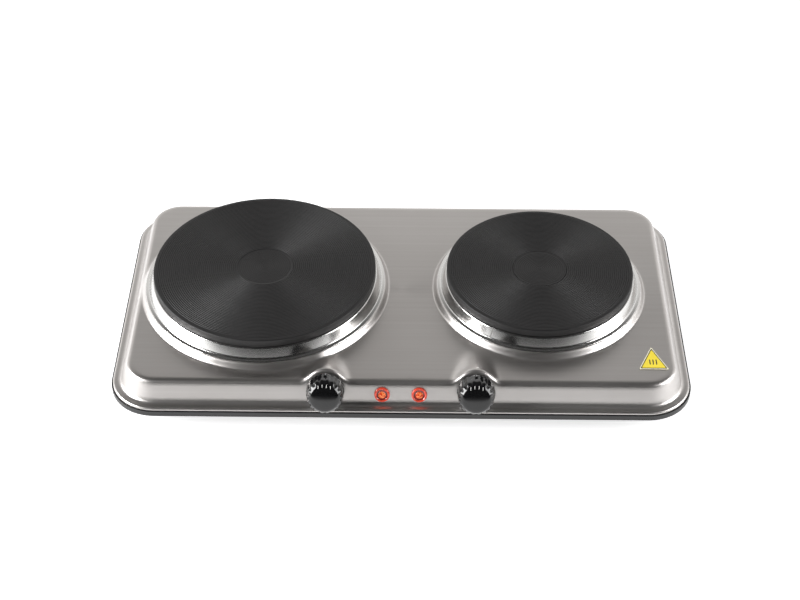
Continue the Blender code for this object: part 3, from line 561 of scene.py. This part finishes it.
weld_finish = Finish("weld_mark_steel", Metallic=1.0)
weld_grain = weld_finish.grain(900, detail=3)
weld_finish.feed("Base Color", weld_finish.tint(weld_grain, (0.30, 0.29, 0.28), (0.46, 0.45, 0.43)))
weld_finish.feed("Roughness", 0.34 + 0.15 * weld_grain)
weld_finish.feed("Normal", weld_finish.relief(weld_grain, 0.00004, 0.4))
weld_run = fold_run + (weld_drop - fold_drop) / math.tan(panel_slope)
for number, (side, forward_by) in enumerate(weld_places, 1):
    outward = Vector((side * math.sin(panel_slope), 0, math.cos(panel_slope)))
    forward = Vector((0, 1, 0))
    spot = Vector(
        (side * (deck_half.x + weld_run), pan_centre.y + forward_by, deck_height - weld_drop)
    )
    weld_frame = Matrix((forward.cross(outward), forward, outward)).transposed().to_4x4()
    profile = (
        (0.0, 0.00003),
        (0.0006, 0.00004),
        (0.0009, 0.00012),
        (0.00115, 0.00014),
        (0.0014, 0.00002),
        (0.0014, -0.0002),
        (0.0, -0.0002),
    )
    dent = turned_piece(profile, (0, 0, 0), 32)
    bmesh.ops.transform(dent, matrix=Matrix.Translation(spot) @ weld_frame, verts=dent.verts)
    solid_piece(f"weld_mark_{number}", dent, weld_finish, "housing", "top_pan")

# ---- Base tray ----
# Black enamelled steel tray. Its rim stands up outside the pan's lip, so that a thin dark line
# follows the pan's edge. Slots in the floor let air in under each plate. It carries the feet.

tray_outset = 0.0011
tray_rim = 0.0046
tray_ledge = 0.0042
tray_slope = 0.014
floor_margin = 0.003
slot_size = (0.024, 0.003, 0.006)
slot_pitch = 0.009

black_enamel = Finish("black_enamel")
pits = black_enamel.grain(900, detail=2)
black_enamel.feed(
    "Base Color", black_enamel.tint(pits, (0.009, 0.009, 0.010), (0.015, 0.015, 0.016))
)
black_enamel.feed("Roughness", 0.30 + 0.15 * pits)
black_enamel.feed("Normal", black_enamel.relief(pits, 0.00004, 0.4))
tray_low, tray_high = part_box("base_pan")
tray_size = tray_high - tray_low
tray = bmesh.new()
bmesh.ops.create_grid(tray, x_segments=1, y_segments=1, size=0.5)
bmesh.ops.scale(tray, vec=(tray_size.x, tray_size.y, 1), verts=tray.verts)
bmesh.ops.bevel(
    tray,
    geom=tray.verts[:],
    affect="VERTICES",
    offset=deck_corner + edge_run + tray_outset,
    segments=20,
    profile=0.5,
    material=-1,
)
bmesh.ops.reverse_faces(tray, faces=tray.faces)
made = bmesh.ops.extrude_face_region(tray, geom=tray.faces[:])["geom"]
floor_face = next(item for item in made if isinstance(item, bmesh.types.BMFace))
bmesh.ops.translate(tray, vec=(0, 0, -tray_rim), verts=floor_face.verts)
for inset, fall in ((tray_ledge, 0.0), (tray_slope, tray_size.z - tray_rim), (floor_margin, 0.0)):
    bmesh.ops.inset_individual(
        tray, faces=[floor_face], thickness=inset, depth=fall, use_even_offset=True
    )
open_top = [
    face for face in tray.faces if face.normal.z > 0.9 and face.calc_center_median().z > -1e-6
]
bmesh.ops.delete(tray, geom=open_top, context="FACES_ONLY")
tray_middle = (tray_low + tray_high) / 2
bmesh.ops.translate(tray, vec=(tray_middle.x, tray_middle.y, tray_high.z), verts=tray.verts)
base_tray = solid_piece("tray", tray, black_enamel, "housing", "base_pan")
give_wall(base_tray, sheet)

slot_cut = bmesh.new()
for plate_x, plate_y, _ in plates.values():
    for row in range(-2, 3):
        slot = bmesh.ops.create_cube(slot_cut, size=1)["verts"]
        bmesh.ops.scale(slot_cut, vec=slot_size, verts=slot)
        slot_place = (plate_x, plate_y + row * slot_pitch, tray_low.z)
        bmesh.ops.translate(slot_cut, vec=slot_place, verts=slot)
slots = solid_piece("vent_cutters", slot_cut, black_enamel, None)
vents = base_tray.modifiers.new("vents", "BOOLEAN")
vents.operation = "DIFFERENCE"
vents.solver = "EXACT"
vents.object = slots
shaped_tray = base_tray.evaluated_get(bpy.context.evaluated_depsgraph_get())
pressed = bpy.data.meshes.new_from_object(shaped_tray)
pressed.set_sharp_from_angle(angle=math.radians(35))
base_tray.modifiers.clear()
base_tray.data = pressed
bpy.data.objects.remove(slots)

# ---- Hot plates ----
# Turned grey-iron castings with a black heat-proof coat. The top is cut in fine rings round a plain
# centre, which is shallow and dished on the large plate and marked by a groove on the small one.

ring_pitch = 0.00165
ring_depth = 0.00026
ring_start = 0.0230
centre_radius = 0.0226
broken_edge = 0.0011
lip_groove_top = 0.0153
lip_groove_foot = 0.0095
lip_groove_depth = 0.0009
skirt_inset = 0.0085
skirt_wall = 0.004
underside = 0.0128
stud_boss = 0.024
stud_hole = 0.0034
stud_hole_top = 0.0168


def ringed_top(radius, dished):
    """The plate's top from its centre to its broken edge, heights under the rim's."""
    if dished:
        shallow, fine_pitch = 0.0008, 0.0007
        points = [(0.0, -0.00042), (shallow, -0.00036)]
        for cut in range(int((centre_radius - 2 * shallow) / fine_pitch)):
            at = shallow + cut * fine_pitch
            points += [(at + 0.00025, -0.00036), (at + 0.00040, -0.00042), (at + 0.00055, -0.00042)]
        points += [(centre_radius - 0.0004, -0.00036), (centre_radius, -0.0001)]
    else:
        points = [(0.0, -0.00012)]
        for ring in range(int((centre_radius - 0.0012) / ring_pitch)):
            at = 0.0010 + ring * ring_pitch
            points += [(at, 0.0), (at + 0.0008, 0.0)]
            points += [(at + 0.00105, -0.00012), (at + 0.0014, -0.00012)]
        points += [(centre_radius - 0.0008, 0.0), (centre_radius - 0.0005, 0.0)]
        points += [(centre_radius - 0.0003, -0.0005)]
    count = int((radius - 0.0026 - ring_start) / ring_pitch)
    for ring in range(count):
        at = ring_start + ring * ring_pitch
        points += [
            (at, 0.0),
            (at + ring_pitch * 0.50, 0.0),
            (at + ring_pitch * 0.66, -ring_depth),
            (at + ring_pitch * 0.84, -ring_depth),
        ]
    points += [(ring_start + count * ring_pitch, 0.0), (radius - broken_edge, 0.0)]
    for step in range(1, 4):
        turn = math.pi / 2 * step / 3
        across, fall = math.sin(turn), 1 - math.cos(turn)
        points.append((radius - broken_edge + broken_edge * across, -broken_edge * fall))
    return points


for size_name, (plate_x, plate_y, plate_radius) in plates.items():
    iron = Finish("turned_iron_" + size_name, Specular_IOR_Level=0.42)
    away, _ = iron.about(plate_x, plate_y)
    lathe_lines = {"W": away, "Scale": 2600, "Detail": 3}
    turning = iron.add("TexNoise", {"noise_dimensions": "1D"}, lathe_lines)
    soot = iron.grain(26, detail=4)
    speck = iron.grain(700, detail=2)
    # The grooves are painted darker than the lands: painted shade in the grooves. The soot and
    # lathe-line noise add a random tone on top.
    rings_out = (away - ring_start) / ring_pitch
    land_not_groove_shade = rings_out.math("FRACT", rings_out).within(0.62, 0.50)
    tone = (soot * 0.5 + turning * 0.2).within(0.2, 0.6) * 0.35 + land_not_groove_shade * 0.65
    iron.feed("Base Color", iron.tint(tone, (0.003, 0.0028, 0.003), (0.017, 0.0162, 0.0166)))
    iron.feed("Roughness", 0.40 + 0.14 * turning + 0.10 * soot)
    iron.feed("Normal", iron.relief(speck, 0.00005, 0.35, iron.relief(turning, 0.00009, 0.55)))
    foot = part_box("hot_plate_" + size_name)[0].z - deck_height
    groove = plate_radius - lip_groove_depth
    skirt = plate_radius - skirt_inset
    profile = [(r, plate_rise + z) for r, z in ringed_top(plate_radius, size_name == "large")]
    profile += [
        (plate_radius, lip_groove_top + 0.0006),
        (plate_radius - 0.0002, lip_groove_top),
        (groove, lip_groove_top),
        (groove, lip_groove_foot),
        (groove - 0.0005, lip_groove_foot - 0.0005),
        (skirt, lip_groove_foot - 0.0005),
        (skirt, foot),
        (skirt - skirt_wall, foot),
        (skirt - skirt_wall, underside),
        (stud_boss, underside),
        (stud_boss, foot),
        (stud_hole, foot),
        (stud_hole, stud_hole_top),
        (0.0, stud_hole_top),
    ]
    plate_shape = turned_piece(profile, (plate_x, plate_y, deck_height), 168)
    solid_piece(
        "iron_plate_" + size_name,
        plate_shape,
        iron,
        "housing",
        "hot_plate_" + size_name,
        sharp=28,
    )

# ---- Spill rings ----
# Bright stainless rings, spun and polished. The lip grips a groove in the plate, the cone spreads
# down from it, and the flat flange rests on the pan's collar. One fine butt seam closes the strip.

ring_reach = 0.0045
seam_angles = {"large": 2.4, "small": -2.12}

for size_name, (plate_x, plate_y, plate_radius) in plates.items():
    polished = Finish("polished_ring_" + size_name, Metallic=1.0)
    away, angle = polished.about(plate_x, plate_y)
    spun_lines = {"W": away, "Scale": 5200, "Detail": 3}
    lines = polished.add("TexNoise", {"noise_dimensions": "1D"}, spun_lines)
    drawn = polished.grain(14, detail=3)
    past_seam = angle - seam_angles[size_name]
    seam_line = past_seam.math("ABSOLUTE", past_seam).within(0.008, 0.004)
    polished.feed(
        "Base Color", polished.tint(seam_line, (0.66, 0.655, 0.645), (0.16, 0.155, 0.15))
    )
    polished.feed("Roughness", 0.09 + 0.10 * lines + 0.06 * drawn + 0.3 * seam_line)
    waves = polished.relief(drawn, 0.0006, 0.12)
    polished.feed("Normal", polished.relief(lines, 0.00002, 0.30, waves))
    corner = plate_radius + ring_reach
    foot = collar_rise + 0.0003
    profile = [
        (plate_radius - 0.0006, 0.0149),
        (plate_radius + 0.0002, 0.0150),
        (plate_radius + 0.0006, 0.01485),
        (plate_radius + 0.0009, 0.0146),
        (plate_radius + 0.0011, 0.0140),
        (corner - 0.0004, foot + 0.0024),
        (corner - 0.0001, foot + 0.0014),
        (corner + 0.0003, foot + 0.0009),
        (corner + 0.0009, foot + 0.0006),
        (corner + 0.0027, foot + 0.0006),
        (corner + 0.0030, foot + 0.0005),
        (corner + 0.0031, foot + 0.0003),
        (corner + 0.0030, foot + 0.0001),
        (corner + 0.0027, foot),
        (corner + 0.0004, foot),
        (corner - 0.0006, foot + 0.0009),
        (plate_radius + 0.0002, 0.0141),
        (plate_radius - 0.0006, 0.0142),
        (plate_radius - 0.0006, 0.0149),
    ]
    ring_shape = turned_piece(profile, (plate_x, plate_y, deck_height), 200)
    solid_piece(
        "ring_" + size_name,
        ring_shape,
        polished,
        "housing",
        "spill_ring_" + size_name,
        sharp=50,
    )

# ---- Sticker ----
# A printed film triangle with a pale margin, a dark border and three plain bars, stuck flat to the
# deck.

bar_size = (0.0009, 0.0058)
bar_pitch = 0.0026
bar_drop = 0.0004

label_low, label_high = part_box("caution_label")
label_middle = Vector(
    ((label_low.x + label_high.x) / 2, (2 * label_low.y + label_high.y) / 3, label_low.z)
)
film_height = label_high.z - label_low.z


def triangle(size, bottom, top):
    """A flat triangle that keeps the sticker's own shape at this share of its size."""
    shape = bmesh.new()
    corners = [
        Vector((label_low.x, label_low.y, bottom)),
        Vector((label_high.x, label_low.y, bottom)),
        Vector((label_middle.x, label_high.y, bottom)),
    ]
    middle = Vector((label_middle.x, label_middle.y, bottom))
    shape.faces.new([shape.verts.new(middle + (corner - middle) * size) for corner in corners])
    bmesh.ops.bevel(
        shape,
        geom=shape.verts[:],
        affect="VERTICES",
        offset=0.0012 * size,
        segments=4,
        profile=0.5,
        material=-1,
    )
    made = bmesh.ops.extrude_face_region(shape, geom=shape.faces[:])["geom"]
    lifted = [item for item in made if isinstance(item, bmesh.types.BMVert)]
    bmesh.ops.translate(shape, vec=(0, 0, top - bottom), verts=lifted)
    bmesh.ops.recalc_face_normals(shape, faces=shape.faces)
    return shape


def film(name, first, second):
    finish = Finish(name, Coat_Weight=0.25, Coat_Roughness=0.2)
    mottle = finish.grain(260, detail=2)
    finish.feed("Base Color", finish.tint(mottle, first, second))
    finish.feed("Roughness", 0.38 + 0.12 * mottle)
    finish.feed("Normal", finish.relief(mottle, 0.00002, 0.3))
    return finish


pale_film = film("pale_film", (0.90, 0.85, 0.62), (0.94, 0.90, 0.70))
dark_ink = film("dark_ink", (0.030, 0.028, 0.020), (0.045, 0.040, 0.030))
yellow_film = film("yellow_film", (0.90, 0.70, 0.035), (0.96, 0.78, 0.06))
layers = (
    ("sticker_margin", 1.0, 0.0, 0.55, pale_film),
    ("sticker_border", 0.90, 0.50, 0.75, dark_ink),
    ("sticker_field", 0.80, 0.60, 0.90, yellow_film),
)
for layer_name, size, bottom, top, finish in layers:
    layer = triangle(size, label_low.z + film_height * bottom, label_low.z + film_height * top)
    solid_piece(layer_name, layer, finish, "housing", "caution_label")
bars = bmesh.new()
for number in (-1, 0, 1):
    bar = bmesh.ops.create_cube(bars, size=1)["verts"]
    bmesh.ops.scale(bars, vec=(*bar_size, film_height * 0.25), verts=bar)
    bar_place = label_middle + Vector((number * bar_pitch, -bar_drop, film_height * 0.86))
    bmesh.ops.translate(bars, vec=bar_place, verts=bar)
bmesh.ops.bevel(
    bars,
    geom=bars.edges[:],
    affect="EDGES",
    offset=0.00001,
    segments=1,
    profile=0.5,
    material=-1,
)
solid_piece("sticker_bars", bars, dark_ink, "housing", "caution_label")

# ---- Knobs ----
# Glossy black mouldings pushed on the control shafts. A flat skirt with a pointer nib carries a
# tapered, fluted grip, and its domed face has four short white marks near the top.

flutes = 18
flute_depth = 0.0007
flute_start = 0.0119
flute_blend = 0.0016
knob_lift = 0.005
nib_size = (0.0024, 0.0026, 0.0042)
nib_place = (0, 0.0141, knob_lift + 0.0024)
mark_size = (0.00055, 0.0024, 0.0001)
mark_circle = 0.0107
mark_height = 0.01462

control_out = Vector((0, -math.sin(panel_slope), math.cos(panel_slope)))
control_up = Vector((0, math.cos(panel_slope), math.sin(panel_slope)))
control_frame = Matrix((Vector((1, 0, 0)), control_up, control_out)).transposed().to_4x4()

knob_black = Finish(
    "knob_black", Specular_IOR_Level=0.42, Coat_Weight=0.25, Coat_Roughness=0.03
)
knob_grain = knob_black.grain(320, detail=2)
knob_wear = knob_black.grain(90, detail=3)
knob_black.feed(
    "Base Color", knob_black.tint(knob_wear, (0.0035, 0.0035, 0.0040), (0.0055, 0.0055, 0.0060))
)
knob_black.feed("Roughness", 0.07 + 0.08 * knob_wear)
knob_black.feed("Normal", knob_black.relief(knob_grain, 0.00003, 0.15))
mark_white = Finish("mark_white")
mark_grain = mark_white.grain(800, detail=2)
mark_white.feed("Base Color", mark_white.tint(mark_grain, (0.62, 0.62, 0.60), (0.75, 0.75, 0.73)))
mark_white.feed("Roughness", 0.4 + 0.1 * mark_grain)

knob_profile = [
    (0.0, 0.0158),
    (0.0020, 0.01577),
    (0.0040, 0.01568),
    (0.0060, 0.01553),
    (0.0078, 0.01532),
    (0.0092, 0.01508),
    (0.0103, 0.01478),
    (0.0111, 0.01436),
    (0.0118, 0.01372),
    (0.0126, 0.01290),
    (0.0134, 0.01205),
    (0.0140, 0.01130),
    (0.0144, 0.01050),
    (0.0146, 0.0095),
    (0.0148, 0.0060),
    (0.0150, 0.0034),
    (0.01515, 0.0026),
    (0.0152, 0.0016),
    (0.0152, 0.0006),
    (0.0150, 0.0001),
    (0.0148, 0.0),
    (0.0140, 0.0),
    (0.0124, 0.0045),
    (0.0122, 0.0100),
    (0.0100, 0.0121),
    (0.0055, 0.0121),
    (0.0055, 0.0015),
    (0.0033, 0.0015),
    (0.0033, 0.0103),
    (0.0, 0.0103),
]


def cut_flutes(grip):
    """Draws the outside of the grip in between its ribs. The skirt's foot and the bore stay."""
    for vert in grip.verts:
        radius = math.hypot(vert.co.x, vert.co.y)
        rise = vert.co.z - knob_lift
        inside = radius < 0.0145 and rise < 0.0102
        if radius < flute_start or rise < 0.0002 or inside:
            continue
        wave = 0.5 - 0.5 * math.cos(math.atan2(vert.co.y, vert.co.x) * flutes)
        share = min(1, (radius - flute_start) / flute_blend)
        deep = flute_depth * wave**1.5 * share
        vert.co.x *= (radius - deep) / radius
        vert.co.y *= (radius - deep) / radius


for hand in ("left", "right"):
    body, node = hand + "_control", "knob_" + hand
    to_object = Matrix.Translation(control_places[body]) @ control_frame
    grip = turned_piece(knob_profile, (0, 0, knob_lift), flutes * 6)
    cut_flutes(grip)
    bmesh.ops.transform(grip, matrix=to_object, verts=grip.verts)
    solid_piece("grip_" + hand, grip, knob_black, body, node, sharp=40)

    nib = bmesh.new()
    block = bmesh.ops.create_cube(nib, size=1)["verts"]
    bmesh.ops.scale(nib, vec=nib_size, verts=block)
    bmesh.ops.translate(nib, vec=nib_place, verts=block)
    bmesh.ops.bevel(
        nib,
        geom=nib.edges[:],
        affect="EDGES",
        offset=0.0005,
        segments=3,
        profile=0.5,
        material=-1,
    )
    bmesh.ops.transform(nib, matrix=to_object, verts=nib.verts)
    solid_piece("nib_" + hand, nib, knob_black, body, node)

    marks = bmesh.new()
    lean = Matrix.Rotation(math.radians(-22), 3, "X")
    for across in (-0.0048, -0.0017, 0.0017, 0.0048):
        mark = bmesh.ops.create_cube(marks, size=1)["verts"]
        bmesh.ops.scale(marks, vec=mark_size, verts=mark)
        bmesh.ops.rotate(marks, cent=(0, 0, 0), matrix=lean, verts=mark)
        along = math.sqrt(mark_circle**2 - across**2)
        bmesh.ops.translate(marks, vec=(across, along, knob_lift + mark_height), verts=mark)
    bmesh.ops.transform(marks, matrix=to_object, verts=marks.verts)
    solid_piece("marks_" + hand, marks, mark_white, body, node)

# ---- Indicator lamps ----
# Red mouldings pushed through the front panel: a rounded rim, a sunk ring painted dark as painted
# shade, and a twelve-sided cut middle that throws the light about. The rim and the middle carry a
# faint painted glow.

lamp_drop = 0.0076
rim_profile = [
    (0.0, 0.0008),
    (0.0040, 0.0008),
    (0.0043, 0.0009),
    (0.0046, 0.0013),
    (0.0050, 0.00168),
    (0.0054, 0.0018),
    (0.0058, 0.0017),
    (0.0061, 0.0013),
    (0.0062, 0.0008),
    (0.0062, 0.0003),
    (0.0047, 0.0003),
    (0.0047, -0.006),
    (0.0, -0.006),
]
well_profile = [
    (0.0, 0.00092),
    (0.0036, 0.00092),
    (0.0043, 0.00098),
    (0.0044, 0.0007),
    (0.0, 0.0007),
]

# The faint emission in the rim is a painted glow.
lens_red = Finish("lens_red", Coat_Weight=0.35, Coat_Roughness=0.08, Emission_Strength=0.10)
lens_haze = lens_red.grain(420, detail=3)
lens_red.feed("Base Color", lens_red.tint(lens_haze, (0.52, 0.030, 0.018), (0.74, 0.075, 0.040)))
lens_red.feed("Emission Color", lens_red.tint(lens_haze, (0.8, 0.05, 0.02), (1.0, 0.20, 0.07)))
lens_red.feed("Roughness", 0.10 + 0.08 * lens_haze)
# The ring round the middle is painted dark red: painted shade where the lens is sunk.
lens_ring_shade = Finish("lens_ring_shade", Coat_Weight=0.6, Coat_Roughness=0.05)
deep_haze = lens_ring_shade.grain(500, detail=2)
lens_ring_shade.feed("Base Color", lens_ring_shade.tint(deep_haze, (0.10, 0.005, 0.004), (0.20, 0.012, 0.008)))
lens_ring_shade.feed("Roughness", 0.15 + 0.1 * deep_haze)
# The faint emission in the middle, patchy with the noise, is a painted glow.
lens_middle = Finish(
    "lens_middle",
    Coat_Weight=0.15,
    Coat_Roughness=0.2,
    Specular_IOR_Level=0.25,
    Emission_Strength=0.22,
)
facet_haze = lens_middle.grain(700, detail=3).within(0.42, 0.60)
lens_middle.feed(
    "Base Color", lens_middle.tint(facet_haze, (0.50, 0.03, 0.012), (0.85, 0.24, 0.07))
)
lens_middle.feed(
    "Emission Color", lens_middle.tint(facet_haze, (0.8, 0.05, 0.01), (1.0, 0.38, 0.10))
)
lens_middle.feed("Roughness", 0.12 + 0.10 * facet_haze)

for hand in ("left", "right"):
    low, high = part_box("lamp_lens_" + hand)
    panel_top = Vector(((low.x + high.x) / 2, front_fold - fold_run, deck_height - fold_drop))
    lamp_place = Matrix.Translation(panel_top - control_up * lamp_drop) @ control_frame
    rim = turned_piece(rim_profile, (0, 0, 0), 72)
    well = turned_piece(well_profile, (0, 0, 0), 48)
    gem = bmesh.new()
    facets = bmesh.ops.create_circle(gem, cap_ends=True, segments=12, radius=0.0032)["verts"]
    bmesh.ops.translate(gem, vec=(0, 0, 0.0009), verts=facets)
    made = bmesh.ops.extrude_face_region(gem, geom=gem.faces[:])["geom"]
    raised = [item for item in made if isinstance(item, bmesh.types.BMVert)]
    bmesh.ops.translate(gem, vec=(0, 0, 0.0004), verts=raised)
    bmesh.ops.scale(gem, vec=(0.86, 0.86, 1), verts=raised)
    crown = next(item for item in made if isinstance(item, bmesh.types.BMFace))
    peak = bmesh.ops.poke(gem, faces=[crown], offset=0.0)["verts"]
    bmesh.ops.translate(gem, vec=(0, 0, 0.0005), verts=peak)
    bmesh.ops.recalc_face_normals(gem, faces=gem.faces)
    lamp_parts = (
        ("lens_rim_", rim, lens_red, 35),
        ("lens_well_", well, lens_ring_shade, 35),
        ("lens_gem_", gem, lens_middle, 5),
    )
    for start, shape, finish, sharp in lamp_parts:
        bmesh.ops.transform(shape, matrix=lamp_place, verts=shape.verts)
        lens_node = "lamp_lens_" + hand
        solid_piece(start + hand, shape, finish, "housing", lens_node, sharp)

# ---- Feet ----
# Turned rubber feet, one near each corner of the tray. A screw with its head sunk in the foot pulls
# the foot and the tray up to a bracket inside.

screw_hole = 0.0023
head_hole = 0.0048
head_depth = 0.0042

rubber = Finish("foot_rubber")
bloom = rubber.grain(300, detail=4)
rubber.feed("Base Color", rubber.tint(bloom, (0.018, 0.018, 0.018), (0.035, 0.034, 0.033)))
rubber.feed("Roughness", 0.75 + 0.2 * bloom)
rubber.feed("Normal", rubber.relief(bloom, 0.0001, 0.4))
for corner_name in ("front_left", "front_right", "back_left", "back_right"):
    low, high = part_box("foot_" + corner_name)
    middle = (low + high) / 2
    radius, tall = (high.x - low.x) / 2, high.z - low.z
    profile = [
        (screw_hole, tall),
        (radius - 0.0004, tall),
        (radius, tall - 0.0004),
        (radius - 0.0004, 0.0030),
        (radius - 0.0008, 0.0014),
        (radius - 0.0012, 0.0005),
        (radius - 0.0019, 0.0),
        (head_hole + 0.0005, 0.0),
        (head_hole, 0.0005),
        (head_hole, head_depth),
        (screw_hole, head_depth),
        (screw_hole, tall),
    ]
    foot_shape = turned_piece(profile, (middle.x, middle.y, low.z), 64)
    foot_node = "foot_" + corner_name
    solid_piece("rubber_" + corner_name, foot_shape, rubber, "housing", foot_node)

# ---- Cord bushing ----
# A short black moulding snapped in the back panel. The supply cord, which isn't shown, runs
# through it. The piece is shown as it was cut.


def recoat(finish, *starts):
    """Gives this finish to the cut pieces whose names start in these ways."""
    for node_name, node in frame["nodes"].items():
        if node_name.startswith(starts):
            node.data.materials.clear()
            node.data.materials.append(finish.material)


bushing_black = Finish("bushing_black")
bushing_grain = bushing_black.grain(600, detail=3)
bushing_black.feed(
    "Base Color", bushing_black.tint(bushing_grain, (0.011, 0.011, 0.012), (0.018, 0.018, 0.019))
)
bushing_black.feed("Roughness", 0.42 + 0.15 * bushing_grain)
bushing_black.feed("Normal", bushing_black.relief(bushing_grain, 0.00006, 0.4))
recoat(bushing_black, "cord_gland")

# ---- Pieces kept as they were cut ----
# Screws, brackets, clamps, regulators, ceramic blocks and sleeved wires inside the base, each with
# the finish of its own stock: zinc-plated steel, unglazed ceramic, dark moulding and woven sleeve.

zinc = Finish("zinc_plate", Metallic=1.0)
spangle = zinc.grain(240, detail=3)
scuff = zinc.grain(40, detail=4)
zinc.feed("Base Color", zinc.tint(spangle, (0.46, 0.47, 0.48), (0.60, 0.61, 0.62)))
zinc.feed("Roughness", 0.32 + 0.18 * scuff)
zinc.feed("Normal", zinc.relief(spangle, 0.00005, 0.3))
recoat(zinc, "foot_screw_", "clamp_", "plate_stud_", "heat_shield_", "side_bracket_")
recoat(zinc, "regulator_shaft_", "regulator_plate_", "regulator_screw_")
recoat(zinc, "lamp_clip_", "earth_screw")

ceramic = Finish("raw_ceramic")
pores = ceramic.grain(500, detail=4)
ceramic.feed("Base Color", ceramic.tint(pores, (0.66, 0.62, 0.54), (0.78, 0.75, 0.68)))
ceramic.feed("Roughness", 0.62 + 0.2 * pores)
ceramic.feed("Normal", ceramic.relief(pores, 0.0001, 0.5))
recoat(ceramic, "heating_bed_", "terminal_")

moulding = Finish("dark_moulding")
mould_grain = moulding.grain(420, detail=3)
moulding.feed(
    "Base Color", moulding.tint(mould_grain, (0.018, 0.018, 0.020), (0.027, 0.027, 0.029))
)
moulding.feed("Roughness", 0.45 + 0.2 * mould_grain)
moulding.feed("Normal", moulding.relief(mould_grain, 0.00006, 0.4))
recoat(moulding, "regulator_left", "regulator_right", "lamp_holder_")

sleeve = Finish("woven_sleeve")
braid = {"Vector": sleeve.place, "Scale": 420, "Distortion": 1.5}
weave = sleeve.add("TexWave", {"bands_direction": "DIAGONAL"}, braid)
sleeve.feed("Base Color", sleeve.tint(weave, (0.58, 0.55, 0.47), (0.78, 0.76, 0.70)))
sleeve.feed("Roughness", 0.6 + 0.2 * weave)
sleeve.feed("Normal", sleeve.relief(weave, 0.0002, 0.6))
recoat(sleeve, "wire_")
